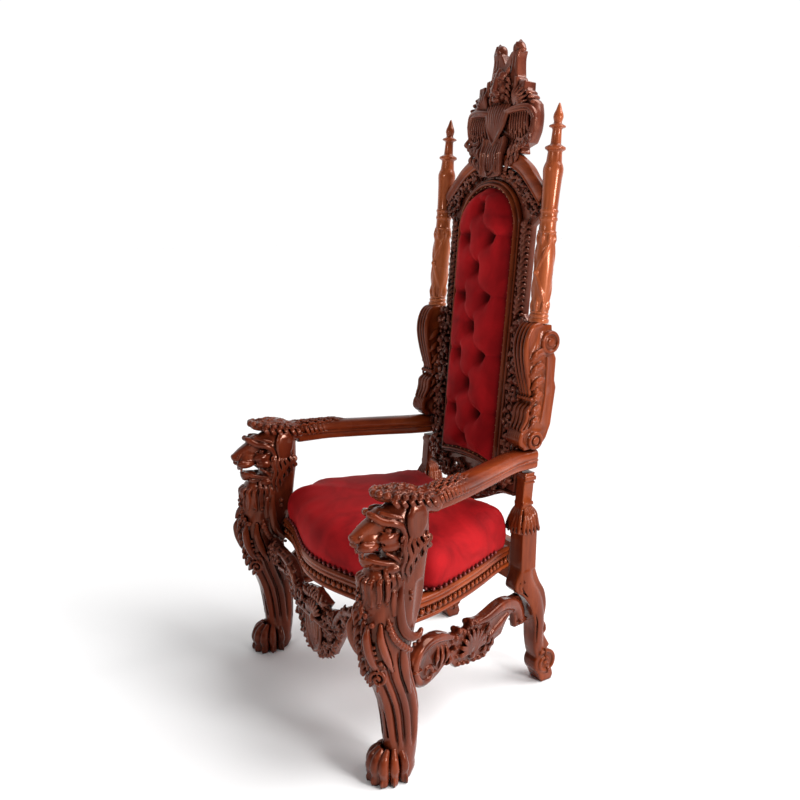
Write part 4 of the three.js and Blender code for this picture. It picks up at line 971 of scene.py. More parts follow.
def arch():
    """The pointed rail over the back."""
    clay = Clay((-214, -22, lifted(1376)), (214, 24, lifted(1536)), 2.2)
    right = flat_curve(ARCH_OVER, 14)[::-1] + flat_curve(ARCH_UNDER, 22)
    left = [(-x, z) for x, z in right][::-1]
    outline = upright(right + left[1:])
    clay.slab(outline, 1, -12, 16, edge=6)
    for s in (-1, 1):
        mid = [(209, 1416), (168, 1456), (126, 1490), (78, 1508), (20, 1512)]
        clay.stroke([(s * x, -6, lifted(z)) for x, z in mid], [17, 16, 14, 9, 6], [9, 9, 9, 7, 4],
            side=(0.7 * s, 0, 0.7), blend=3, steps=34)
        clay.stroke([(s * x, -11, lifted(z) + 5) for x, z in flat_curve(ARCH_UNDER, 10)[:-2]], 3, blend=1.5,
            steps=30)
    return leaning(clay.mesh())


def sweep(path, outward, section, closed):
    """A moulding: section is (out, forward) points carried along the path."""
    rings = np.stack([path + outward * o + np.array([0, -f, 0]) for o, f in section], 1)
    n, m = rings.shape[:2]
    faces = []
    for i in range(n if closed else n - 1):
        for j in range(m):
            a, b = i * m + j, i * m + (j + 1) % m
            c, d = ((i + 1) % n) * m + (j + 1) % m, ((i + 1) % n) * m + j
            faces += [(a, b, c), (a, c, d)]
    if not closed:
        for first in (0, (n - 1) * m):
            for j in range(1, m - 1):
                tri = (first, first + j, first + j + 1)
                faces.append(tri[::-1] if first == 0 else tri)
    return facing_out(rings.reshape(-1, 3), np.array(faces))


def arched_path(half, bottom, top, dip, spacing=9.0):
    """Points round an upright panel with a round head and a dished foot, in the back's frame."""
    spring = lifted(top) - half
    foot = [(x, lifted(bottom) + dip * 0.5 * (1 - (x / half) ** 2)) for x in np.linspace(-half, half,
        24)[:-1]]
    right = [(half, z) for z in np.arange(lifted(bottom), spring, spacing)]
    head = [(half * cos(a), spring + half * sin(a)) for a in np.linspace(0, pi, 40)]
    left = [(-half, z) for z in np.arange(spring - spacing, lifted(bottom) + 1, -spacing)]
    return np.array(foot + right + head + left)


def curl(clay, s, centre, r, way, count, rise, width, thick, blend, steps):
    """A flat scroll that winds in round its centre and rises towards the front."""
    x, d, z = centre
    ring = []
    for t in np.linspace(0, 1, count):
        rr, a = r * (1 - t) + 3, radians(60 + 420 * t) * way
        ring.append((s * (x + rr * cos(a)), d - rise * t, z + rr * sin(a)))
    clay.stroke(ring, width, thick, side=(1, 0, 0), blend=blend, steps=steps)


def petal(clay, s, centre, a, stations, width, thick, **look):
    """A leaf off a rosette at angle a, through (reach in x, reach in z, turn, how far forward)."""
    x, d, z = centre
    clay.stroke([(s * (x + rx * cos(a + turn)), d - out, z + rz * sin(a + turn)) for rx, rz, turn,
        out in stations], width, thick, side=(-s * sin(a), 0, cos(a)), **look)


def panel_frame():
    """The moulding round the buttoned panel."""
    path = arched_path(127, 651, 1451, 26)
    ahead, behind = np.roll(path, -1, 0), np.roll(path, 1, 0)
    tangent = ahead - behind
    tangent /= np.linalg.norm(tangent, axis=1)[:, None]
    normal = np.stack([tangent[:, 1], -tangent[:, 0]], 1)
    middle = np.stack([path[:, 0], np.zeros(len(path)), path[:, 1]], 1)
    outward = np.stack([normal[:, 0], np.zeros(len(path)), normal[:, 1]], 1)
    if outward[30, 0] < 0:
        outward = -outward
    section = [(-11, -14), (12, -14), (12, 6), (11, 11), (8.5, 13.5), (5.5, 13), (4, 10.5), (2.8, 12),
        (1.8, 17), (-1, 21), (-4, 21.5), (-6.5, 18.5), (-7.2, 14), (-8, 13), (-9, 15.5), (-10.3, 15),
        (-11, 12)]
    points, faces = sweep(middle, outward, section, True)
    return lean(points), faces


STRIP_HOLES = [(193, 725, 9, 12), (193, 885, 9, 12), (156, 1160, 4, 13), (156, 1250, 4, 13),
    (172, 1388, 7, 11), (118, 1436, 9, 7)]


def back_carving():
    """The left pierced strip beside the panel, and the spandrel over it."""
    clay = Clay((0, -26, lifted(594)), (210, 24, lifted(1506)), 2.2)
    middle = 172.4  # of the broad part, across
    inner, outer, rim = 139.3, 205.5, 175
    spring = lifted(1440) - PAD_HALF
    outline = upright([(inner, 600), (outer, 600), (outer, 1071), (rim, 1100), (rim, 1336), (208, 1366),
        (208, 1385), (160, 1433), (118, 1469), (64, 1493), (2, 1501)])
    outline += [(inner * cos(a), spring + inner * sin(a)) for a in np.linspace(pi / 2 - 0.014, 0, 24)]
    holes = [ellipse(x, lifted(z), rx, rz, 20) for x, z, rx, rz in STRIP_HOLES]
    clay.slab(outline, 1, -1, 20, edge=1.5, holes=holes)
    front = -4
    # a running scroll with a leaf rosette in each bend, up the broad part
    pitch = 80
    heights = np.arange(606, 1076, 10)
    vine = [(middle + 19 * sin(2 * pi * (z - 610) / (2 * pitch)), front - 2, z) for z in heights]
    clay.stroke(raised(*vine), 5.5, 7, side=(1, 0, 0), blend=1.0, steps=110, flutes=1, depth=1.4)
    for k in range(6):
        z = 650 + pitch * k
        s = 1 if k % 2 == 0 else -1
        cx = middle - s * 2
        ring = []
        for t in np.linspace(0, 1, 16):
            r, a = 17 * (1 - t) + 4, radians(100 + 400 * t)
            ring.append((cx - s * r * cos(a), front - 4 - 4 * t, lifted(z) + r * sin(a)))
        clay.stroke(ring, [4.5, 4.5, 3.5], [6, 6, 5], side=(1, 0, 0), steps=44)
        clay.ball((cx, front - 9, lifted(z)), (6, 6, 6))
        for angle in (20, 75, 130, 200, 255, 310):
            a = radians(angle) * s
            petal(clay, 1, (cx, front, lifted(z)), a, ((14, 17, 0, 3), (23, 28, 0.2, 10), (30, 38, 0.5, 5)),
                [5, 12.5, 4], [5, 8, 4], blend=0.6, flutes=3, depth=1.8)
        for dx, dz, r in ((21, 40, 6), (-21, 40, 6), (25, 20, 5), (-25, -20, 5), (24, -24, 5),
            (-24, 22, 5)):
            clay.ball((middle + dx, front - 3, lifted(z + dz)), (r, 7, r * 1.2))
    # slender part: overlapping leaves that curl out to the edge
    for k in range(16):
        z = 1100 + 15.8 * k
        way = 1 if k % 2 else -1
        clay.stroke(raised((152 - way * 3, front, z - 9), (156, front - 9, z), (163, front - 8, z + 9),
            (170, front - 1, z + 20)), [4, 9, 8, 3], [4, 7, 6, 3], side=(1, 0, -0.8), blend=0.6, flutes=2,
            depth=2.2)
        clay.stroke(raised((160, front, z - 6), (150, front - 8, z + 2), (145, front - 3, z + 12)),
            [3, 7, 3], [3, 6, 3], side=(1, 0, 0.8), blend=0.6, flutes=1, depth=1.8)
        clay.ball((170, front, lifted(z - 2)), (5, 7, 6))
    clay.stroke(raised((142, front, 606), (142, front, 1330)), 2.4, 5, blend=1, steps=8)
    # spandrel between the panel's head and the arch
    for cx, cz, r, way in ((190, 1384, 15, 1), (166, 1402, 15, -1), (148, 1426, 13, 1), (118, 1450, 13, -1),
        (84, 1470, 10, 1), (50, 1481, 8, -1), (20, 1487, 7, 1)):
        curl(clay, 1, (cx, front - 2, lifted(cz)), r, way, 14, 4, [4.5, 4, 3], [6, 6, 4], 0.8, 40)
        clay.ball((cx, front - 7, lifted(cz)), 4.5)
        for j in range(5):
            stations = ((r * 0.8, r * 0.8, 0, 2), (r * 1.3, r * 1.3, 0.3, 8), (r * 1.6, r * 1.6, 0.8, 3))
            petal(clay, 1, (cx, front, lifted(cz)), radians(30 + 72 * j), stations, [3, 7, 2], [3, 6, 3],
                blend=0.6, flutes=2, depth=1.8)
    clay.trim(outline, 1, 1.2, holes)
    return leaning(clay.mesh())


def lower_rail():
    """The pierced rail under the panel."""
    clay = Clay((-208, -24, lifted(512)), (208, 16, lifted(662)), 2.2)
    foot = flat_curve([(205, 588), (160, 583), (120, 567), (60, 538), (0, 520), (-60, 538), (-120, 567),
        (-160, 583), (-205, 588)], 40)
    crown = flat_curve([(-137, 638), (0, 650), (137, 638)], 14)
    outline = foot + [(-205, 599.5), (-138.5, 599.5)] + crown + [(138.5, 599.5), (205, 599.5)]
    outline = upright(outline)
    holes = [ellipse(x, lifted(610), 10, 6, 20) for x in (-77, 77)]
    clay.slab(outline, 1, 0, 12, edge=1.5, holes=holes)
    front = -5
    for s in (-1, 1):
        clay.stroke([(s * x, front, lifted(z)) for x, z in ((8, 540), (60, 556), (110, 578), (160, 592),
            (198, 594))], [6, 6, 5, 4], 6, side=(0, 0, 1), blend=1, flutes=1, depth=1)
        for cx, cz, r, way in ((112, 606, 17, -1), (124, 586, 10, 1), (46, 612, 15, 1), (58, 572, 15, -1),
            (18, 598, 14, -1), (94, 578, 10, 1), (132, 626, 10, 1)):
            curl(clay, s, (cx, front - 2, lifted(cz)), r, way, 14, 4, [4.5, 4, 3], [6, 6, 4], 1, 40)
            clay.ball((s * cx, front - 7, lifted(cz)), 5, blend=0.8)
            for j in range(4):
                stations = ((r, r, 0, 1), (r * 1.5, r * 1.4, 0.4, 8), (r * 1.8, r * 1.7, 0.9, 3))
                petal(clay, s, (cx, front, lifted(cz)), radians(40 + 90 * j), stations, [3, 6, 2],
                    [3, 5, 3], blend=0.8, flutes=2, depth=1.4)
    for k in range(-3, 4):
        a = radians(18 * k)
        clay.stroke(raised((0, front, 548), (26 * sin(a), front - 9, 560 + 16 * cos(a)),
            (46 * sin(a), front - 7, 556 + 48 * cos(a))), [3, 7, 4], [3, 6, 3], side=(cos(a), 0, -sin(a)),
            flutes=2, depth=1.4)
    clay.trim(outline, 1, 1.5, holes)
    return leaning(clay.mesh())


# ---------------------------------------------------------------- crest

def crest():
    """The crest: a beast's head between two wings, over a reeded tongue."""
    clay = Clay((-156, -46, lifted(1458)), (156, 34, lifted(1836)), 2.0)
    right = flat_curve([(96, 1500), (112, 1526), (104, 1546)], 8) + [(130, 1556)]
    right += flat_curve([(142, 1584), (144, 1622), (136, 1654), (112, 1672)], 12)
    right += flat_curve([(102, 1690), (100, 1716), (74, 1720)], 3)
    right += flat_curve([(58, 1736), (52, 1780), (56, 1804)], 8)
    half = right + flat_curve([(22, 1802), (9, 1786), (0, 1772)], 6)
    outline = [(48, 1474)] + half + [(-x, z) for x, z in half[:-1]][::-1] + [(-48, 1474), (0, 1466)]
    clay.slab(upright(outline), 1, -6, 28, edge=3)
    for s in (-1, 1):
        # stems with knobs that hook outwards
        clay.stroke(raised(*sided(s, (26, 2, 1716), (29, 4, 1750), (32, 6, 1784), (36, 8, 1806))),
            [20, 18, 15, 13], [13, 12, 12, 13], blend=2, square=2.4)
        clay.stroke(raised(*sided(s, (36, 10, 1804), (38, 9, 1812), (46, 8, 1813), (56, 8, 1806))),
            [15, 17, 14, 8], [17, 18, 15, 10], blend=1.5)
        for x in (27, 38):
            clay.stroke(raised(*sided(s, (x, -10, 1730), (x + 1, -8, 1755), (x + 2, -6, 1785))), 1.8,
                blend=1.5, cut=True)
        # square blocks, and the fan of leaves below them
        clay.slab(upright([(s * 74, 1686), (s * 74, 1721), (s * 100, 1717), (s * 100, 1690)]), 1, -12, 28,
            blend=1, edge=2)
        clay.slab(upright([(s * 52, 1690), (s * 52, 1734), (s * 66, 1732), (s * 68, 1694)]), 1, -14, 26,
            blend=1, edge=2)
        for k in range(7):
            a = radians(2 + 14 * k)
            reach = 60 - 0.10 * (k - 1) ** 2 * 4
            clay.stroke(raised(*sided(s, (58 + 10 * sin(a), -9, 1650 + 8 * cos(a)),
                (60 + 0.55 * reach * sin(a), -17, 1650 + 0.6 * reach * cos(a)),
                (60 + reach * sin(a), -11, 1648 + reach * cos(a)))), [4, 8.5, 4.5], [4, 7, 4],
                side=(cos(a), 0, -s * sin(a)), blend=0.7, flutes=1, depth=2)
        for x, z in ((110, 1686), (121, 1674), (131, 1660)):
            clay.ball((s * x, 6, lifted(z)), (8, 21, 8), blend=1.0)
        # wing: a broad rolled band that curls down round the outside, with reeds under it
        band = raised(*sided(s, (26, -14, 1640), (60, -17, 1645), (98, -15, 1648), (126, -9, 1644),
            (139, -4, 1622), (137, -3, 1596), (125, -5, 1574), (106, -8, 1564), (88, -9, 1568)))
        clay.stroke(band, [7, 10, 11, 10, 9, 9, 8, 7, 5], [7, 10, 11, 11, 10, 9, 8, 7, 5], side=(0, 0, 1),
            blend=1.5, steps=60)
        clay.stroke([(x, d - 9, z - 3) for x, d, z in band[:5]], 1.8, blend=1.2, cut=True, steps=40)
        clay.stroke(raised(*sided(s, (136, 12, 1656), (143, 12, 1624), (141, 12, 1590), (130, 12, 1562))),
            [5, 6, 6, 5], [17, 17, 17, 16], side=(s, 0, 0), blend=3, steps=30)
        for k, x in enumerate(range(54, 126, 10)):
            low = 1570 + 0.012 * (x - 84) ** 2
            clay.stroke(raised(*sided(s, (x - 2, -10, 1636), (x + 2, -13, 1606), (x, -9, low))),
                [4.4, 5.2, 4], [4.5, 6, 4], blend=0.6, flutes=1, depth=1.2)
            if k % 2:
                clay.ball((s * x, -15, lifted(low + 14)), (4.5, 4, 6))
        # leaves from the wing down to the neck
        for x0, z0, x1, z1, x2, z2 in ((130, 1578, 137, 1566, 132, 1556), (114, 1566, 120, 1554, 112, 1544),
            (98, 1560, 104, 1544, 97, 1530), (82, 1562, 88, 1544, 80, 1526), (68, 1558, 72, 1538, 66, 1518),
            (92, 1534, 102, 1520, 96, 1506), (76, 1526, 84, 1510, 76, 1496),
            (60, 1520, 66, 1502, 60, 1484)):
            clay.stroke(raised(*sided(s, (x0, -8, z0 + 6), (x1, -15, z1), (x2, -12, z2))), [5, 10, 4],
                [5, 7, 5], side=(0.7, 0, 0.7), blend=0.7, flutes=2, depth=2.2)
        for x, z, r in ((124, 1560, 6), (108, 1550, 6), (92, 1552, 6), (74, 1546, 6), (86, 1518, 6),
            (70, 1508, 5)):
            clay.ball((s * x, -14, lifted(z)), (r, 7, r), blend=0.7)
        # pillars each side of the tongue
        for x, r in ((43, 6.5), (31, 4)):
            clay.stroke(raised(*sided(s, (x, -20, 1572), (x, -21, 1524), (x, -19, 1478))), [r, r, r - 1],
                [r + 1, r + 1, r], blend=0.5)
        # beast's head: brow, eye, cheek, jaw and ear
        clay.ball((s * 13, -20, lifted(1738)), (12, 12, 12), blend=3)
        clay.ball((s * 15, -30, lifted(1722)), (6, 7, 5), blend=2, cut=True)
        clay.ball((s * 13, -26, lifted(1722)), (4.5, 5, 4))
        clay.stroke(raised(*sided(s, (5, -32, 1730), (14, -32, 1732), (23, -25, 1727))), [3, 4, 3], blend=1)
        clay.ball((s * 18, -20, lifted(1704)), (12, 13, 14), blend=3)
        clay.ball((s * 9, -32, lifted(1689)), (10, 10, 9), blend=1.5)
        clay.stroke(raised(*sided(s, (20, -14, 1742), (28, -16, 1752), (27, -12, 1762))), [6, 7, 3],
            [5, 6, 3], blend=1.2)
        for z in (1732, 1716, 1700, 1684):
            clay.stroke(raised(*sided(s, (24, -16, z), (34, -19, z - 5), (40, -12, z - 18))), [5, 7, 3],
                [4, 6, 3], side=(0, 0, 1), flutes=2, depth=1.8)
    clay.ball((0, -12, lifted(1712)), (27, 20, 44), blend=4)
    clay.stroke(raised((0, -20, 1752), (0, -30, 1724), (0, -36, 1698)), [8, 8, 10], [8, 9, 9], blend=3)
    clay.ball((0, -38, lifted(1695)), (8, 5, 6), blend=1.2)
    clay.ball((0, -26, lifted(1675)), (14, 12, 8), blend=2)
    clay.stroke(raised((-15, -34, 1681), (0, -39, 1684), (15, -34, 1681)), [1.4, 2, 1.4], [2.4, 3, 2.4],
        side=(0, 0, 1), blend=1.2, cut=True)
    # reeded drapery that gathers to a point between the wings
    for k in range(-4, 5):
        clay.stroke(raised((k * 11.5, -12, 1664 - 1.2 * abs(k)), (k * 9.8, -20 + 0.6 * abs(k), 1634),
            (k * 5.6, -21, 1596), (k * 1.6, -20, 1560)), [5, 6.4, 5, 2.5], [5, 7, 6, 4], blend=0.6,
            steps=20)
    for s in (-1, 1):
        clay.stroke(raised((s * 46, -18, 1640), (s * 34, -22, 1604), (s * 14, -24, 1572), (0, -24, 1556)),
            [4.5, 5, 5, 4], [5, 5, 5, 4], blend=0.6)
    # reeded tongue that hangs before the arch
    tongue = [(48, 1572), (48, 1476), (36, 1470), (0, 1466)]
    tongue = upright(tongue + [(-x, z) for x, z in tongue[:-1]][::-1])
    clay.slab(tongue, 1, -22, -8, blend=1, edge=2)
    for x in (-21, -10.5, 0, 10.5, 21):
        clay.stroke(raised(*at_x(x, (-21, 1556), (-23, 1520), (-21, 1482))), [4.6, 4.8, 4], [3.6, 4.4, 3.2],
            blend=0.5, square=2.4)
    clay.stroke(raised((-24, -22, 1512), (-16, -25, 1486), (0, -26, 1476), (16, -25, 1486),
        (24, -22, 1512)), 4, [4.5], blend=0.6, steps=30)
    part, (x, y, z) = clay.whole()
    clay.d[part] = np.where((y > -12.6) & (z < lifted(1529)), np.maximum(clay.d[part], 0.8), clay.d[part])
    points, faces = clay.mesh()
    points[:, 1] += 6.5 * np.clip((points[:, 2] - lifted(1534)) / 22, 0, 1)
    return lean(points), faces


# ---------------------------------------------------------------- seat frame

def front_line(x):
    t = np.minimum(1, np.abs(x) / 300)
    return -301 + 62 * (1 - np.cos(np.pi * t)) / 2


SIDE_ROUTE = [(362, -205, 0), (350, -115, 0), (317, -10, 0), (284, 75, 0), (246, 160, 0), (228, 212, 0)]
RAIL_SECTION = [(-28, 390), (-3, 390), (0, 391.5), (1, 395), (0.5, 399.5), (-2, 401.5), (-5.5, 402.5),
    (-6, 405), (-6, 422), (-5.5, 424.5), (-2.5, 425), (-0.5, 427), (0.5, 431), (0, 435), (-1.8, 437),
    (-1.8, 438.5), (0.2, 440), (1.2, 443.5), (0.2, 447.5), (-2.5, 449.5), (-5, 451.5), (-28, 451.5)]


def bead(centre, radii, rings=6, sides=8):
    """A small oval bead."""
    points, faces = [(0, 0, 1)], []
    for i in range(1, rings):
        a = pi * i / rings
        points += [(sin(a) * cos(b), sin(a) * sin(b), cos(a)) for b in np.linspace(0, 2 * np.pi, sides,
            endpoint=False)]
    points.append((0, 0, -1))
    last = len(points) - 1
    for j in range(sides):
        k = (j + 1) % sides
        faces.append((0, 1 + j, 1 + k))
        faces.append((last, last - sides + k, last - sides + j))
        for i in range(rings - 2):
            a, b = 1 + i * sides + j, 1 + i * sides + k
            faces += [(a, a + sides, b), (b, a + sides, b + sides)]
    return np.array(points) * radii + centre, np.array(faces)


def rail(path, outward):
    """A moulded seat rail along a path, with pearls along its front."""
    rings = np.stack([np.stack([path[:, 0] + outward[:, 0] * o, path[:, 1] + outward[:, 1] * o,
        np.full(len(path), z)], 1) for o, z in RAIL_SECTION], 1)
    n, m = rings.shape[:2]
    faces = []
    for i in range(n - 1):
        for j in range(m):
            a, b = i * m + j, i * m + (j + 1) % m
            faces += [(a, b, b + m), (a, b + m, a + m)]
    points = rings.reshape(-1, 3)
    for first in (0, (n - 1) * m):
        hub = len(points)
        points = np.vstack([points, points[first:first + m].mean(0)])
        for j in range(m):
            tri = (hub, first + j, first + (j + 1) % m)
            faces.append(tri if first else tri[::-1])
    # pearls along the sunk band
    shapes = [facing_out(points, np.array(faces))]
    run = lengths(path[:, :2])
    for s in np.arange(11, run[-1] - 8, 20.5):
        x, y = np.interp(s, run, path[:, 0]), np.interp(s, run, path[:, 1])
        ox, oy = np.interp(s, run, outward[:, 0]), np.interp(s, run, outward[:, 1])
        shapes.append(bead((x - ox * 2.6, y - oy * 2.6, 413.5), (7.0, 7.0, 7.4), 8, 12))
        x, y = np.interp(s + 10.25, run, path[:, 0]), np.interp(s + 10.25, run, path[:, 1])
        shapes.append(bead((x - ox * 4.6, y - oy * 4.6, 413.5), (2.4, 2.4, 8.0)))
    return joined(*shapes)


def front_rail():
    x = np.linspace(313, -313, 90)
    y = front_line(x)
    slope = np.gradient(y, x)
    outward = np.stack([slope, -np.ones_like(x)], 1)
    outward /= np.linalg.norm(outward, axis=1)[:, None]
    return rail(np.stack([x, y, np.zeros_like(x)], 1), outward)


def side_rail():
    path = curve(SIDE_ROUTE, 70)
    t = np.gradient(path[:, :2], axis=0)
    outward = np.stack([t[:, 1], -t[:, 0]], 1)
    outward /= np.linalg.norm(outward, axis=1)[:, None]
    return rail(path, outward)


# ---------------------------------------------------------------- velvet

BUTTONS = []
for row in range(9):
    for bx in ((0,) if row % 2 == 0 else (-51.5, 51.5)):
        BUTTONS.append((bx, lifted(1386) - 84.2 * row))


def pad_height(x, h):
    """How far the buttoned pad stands forward, before the plane of its edge."""
    half, spring, foot = 115.0, lifted(1440) - PAD_HALF, lifted(663)
    head = np.hypot(x, np.maximum(h - spring, 0))
    edge = np.minimum(half - head, h - foot - 8 * (1 - (x / half) ** 2))
    edge = np.where(h > spring, half - head, np.minimum(half - np.abs(x), edge))
    crown = 44 * (1 - np.exp(-((np.maximum(edge, 0) / 21.0) ** 1.3)))
    near = np.min([np.hypot((x - bx) / 17, (h - bz) / np.where(h > bz, 14, 25)) for bx, bz in BUTTONS], 0)
    pit = 34 * np.exp(-(near**1.5))
    crease = np.zeros_like(x)
    for i, (ax, az) in enumerate(BUTTONS):
        ends = [(bx, bz) for bx, bz in BUTTONS if 0 < az - bz < 90 and 10 < abs(ax - bx) < 60]
        if abs(ax) > 40:
            ends += [(copysign(126, ax), az + 4)]
        if i == 0:
            ends += [(-46, az + 62), (46, az + 62)]
        if i == len(BUTTONS) - 1:
            ends += [(-70, az - 66), (70, az - 66)]
        for bx, bz in ends:
            ex, ez = bx - ax, bz - az
            f = np.clip(((x - ax) * ex + (h - az) * ez) / (ex * ex + ez * ez), 0, 1)
            bend = 4 * np.sin(np.pi * f)
            gap = np.hypot(x - ax - f * ex, h - az - f * ez - bend)
            crease = np.maximum(crease, 12.0 * np.exp(-((gap / 11) ** 1.3))
                * (0.7 + 0.3 * np.cos(2 * np.pi * f)))
    fold = np.exp(-near / 1.6) * (0.9 * np.sin(h / 6.0 + x / 17) + 0.8 * np.sin(x / 5.0 + h / 31))
    return np.maximum(crown - pit - crease + fold * np.clip(edge / 20, 0, 1), -3)


def back_pad():
    """The buttoned velvet of the back."""
    spring, foot = lifted(1440) - PAD_HALF, lifted(663)
    nx, nh = 96, 330
    points, faces = [], []
    for i in range(nh):
        t = i / (nh - 1)
        for j in range(nx):
            s = 2 * j / (nx - 1) - 1
            low = foot + 15 * (1 - s * s) * 0.9
            reach = 115.2 * s
            high = spring + sqrt(max(115.2**2 - reach**2, 0))
            points.append((reach, 0.0, low + (high - low) * t))
    p = np.array(points)
    p[:, 1] = -13 - pad_height(p[:, 0], p[:, 2])
    back = p.copy()
    back[:, 1] = 5.2
    n = len(p)
    for i in range(nh - 1):
        for j in range(nx - 1):
            a, b, c, d = i * nx + j, i * nx + j + 1, (i + 1) * nx + j + 1, (i + 1) * nx + j
            faces += [(a, b, c), (a, c, d)]
    border = [j for j in range(nx)] + [i * nx + nx - 1 for i in range(1,
        nh)] + [(nh - 1) * nx + j for j in range(nx - 2, -1, -1)]
    border += [i * nx for i in range(nh - 2, 0, -1)]
    hub = n + len(border)
    points = np.vstack([p, back[border], [[0, 5.2, lifted(1050)]]])
    for k in range(len(border)):
        a, b = border[k], border[(k + 1) % len(border)]
        c, d = n + (k + 1) % len(border), n + k
        faces += [(a, d, c), (a, c, b), (hub, c, d)]
    return lean(points), np.array(faces)


def pad_buttons():
    shapes = []
    for x, h in BUTTONS:
        z = float(pad_height(np.array([x * 1.0]), np.array([h]))[0])
        shapes.append(bead((x, -15 - z, h), (8.5, 4.5, 8.5), 8, 14))
    return leaning(joined(*shapes))


def panel_nails():
    path = arched_path(118.6, 659, 1443, 28, 2.0)
    run = lengths(path)
    shapes = [bead((np.interp(s, run, path[:, 0]), -15.5, np.interp(s, run, path[:, 1])), (2.6, 2.6, 2.6),
        5, 8) for s in np.arange(0, run[-1], 21)]
    return leaning(joined(*shapes))


def cushion_edge(count=220):
    """The cushion's plan, anticlockwise from the middle of its front."""
    right = [(x, front_line(x) + 5) for x in (0, 70, 140, 210, 262, 294)]
    side = curve(SIDE_ROUTE, 60)
    right += [(306, -232), (307, -182), (312, -164), (326, -149), (342, -138)]
    right += [(float(np.interp(y, side[:, 1], side[:, 0])) - 3, y) for y in (-112, -20, 70, 130, 165, 196)]
    right += [(224, 208), (190, 212), (184, 218)]
    left = [(-x, y) for x, y in right[1:]][::-1]
    loop = np.array(right + left + right[:1], float)
    run = lengths(loop)
    s = np.linspace(0, run[-1], count, endpoint=False)
    return np.stack([np.interp(s, run, loop[:, 0]), np.interp(s, run, loop[:, 1])], 1)


CUSHION_ROWS = [(0.024, 452.3), (0.012, 462), (0.004, 474), (0.0, 488), (0.004, 504), (0.018, 520),
    (0.042, 535), (0.075, 547), (0.12, 557), (0.18, 565.5), (0.25, 572), (0.34, 577), (0.45, 581),
    (0.58, 584.5), (0.72, 587), (0.86, 588.5), (0.96, 589)]


def seat_cushion():
    """The crowned velvet seat."""
    rim = cushion_edge()
    for _ in range(4):
        rim = (np.roll(rim, 1, 0) + 2 * rim + np.roll(rim, -1, 0)) / 4
    middle = np.array([0.0, -40.0])
    angle = np.arctan2(rim[:, 1] - middle[1], rim[:, 0] - middle[0])
    corner = np.exp(-(((np.abs(rim[:, 0]) - 215) / 60) ** 2) - ((rim[:, 1] - 175) / 70) ** 2)
    shape = []
    for inset, z in CUSHION_ROWS:
        ring = rim + (middle - rim) * (inset * (1 - 0.5 * corner))[:, None]
        ease = exp(-(((inset - 0.1) / 0.15) ** 2))
        ripple = ease * (1.2 * np.sin(9 * angle + 1) + 0.7 * np.sin(23 * angle) + corner * 3.2
            * np.sin(61 * angle))
        fall = 7 * inset * np.clip((rim[:, 1] - 60) / 150, 0, 1)
        shape.append(np.column_stack([ring, z + ripple * (z > 500) - fall]))
    points = np.vstack(shape + [[[*middle, 589]], [[*middle, 452.3]]])
    n, m = len(CUSHION_ROWS), len(rim)
    faces = []
    for i in range(n - 1):
        for j in range(m):
            a, b = i * m + j, i * m + (j + 1) % m
            faces += [(a, b, b + m), (a, b + m, a + m)]
    for j in range(m):
        faces.append(((n - 1) * m + j, (n - 1) * m + (j + 1) % m, n * m))
        faces.append((n * m + 1, (j + 1) % m, j))
    return points, np.array(faces)


def seat_nails():
    rim = cushion_edge(500)
    run = lengths(rim)
    shapes = []
    for s in np.arange(0, run[-1], 20.5):
        x, y = np.interp(s, run, rim[:, 0]), np.interp(s, run, rim[:, 1])
        if y > 150 or (abs(x) > 300 and y < -200):
            continue
        tx = np.interp(s + 2, run, rim[:, 0]) - np.interp(s - 2, run, rim[:, 0])
        ty = np.interp(s + 2, run, rim[:, 1]) - np.interp(s - 2, run, rim[:, 1])
        k = hypot(tx, ty) or 1
        shapes.append(bead((x + 1.0 * ty / k, y - 1.0 * tx / k, 459), (4.9, 4.9, 4.9), 6, 10))
    return joined(*shapes)


# ---------------------------------------------------------------- apron and stretchers

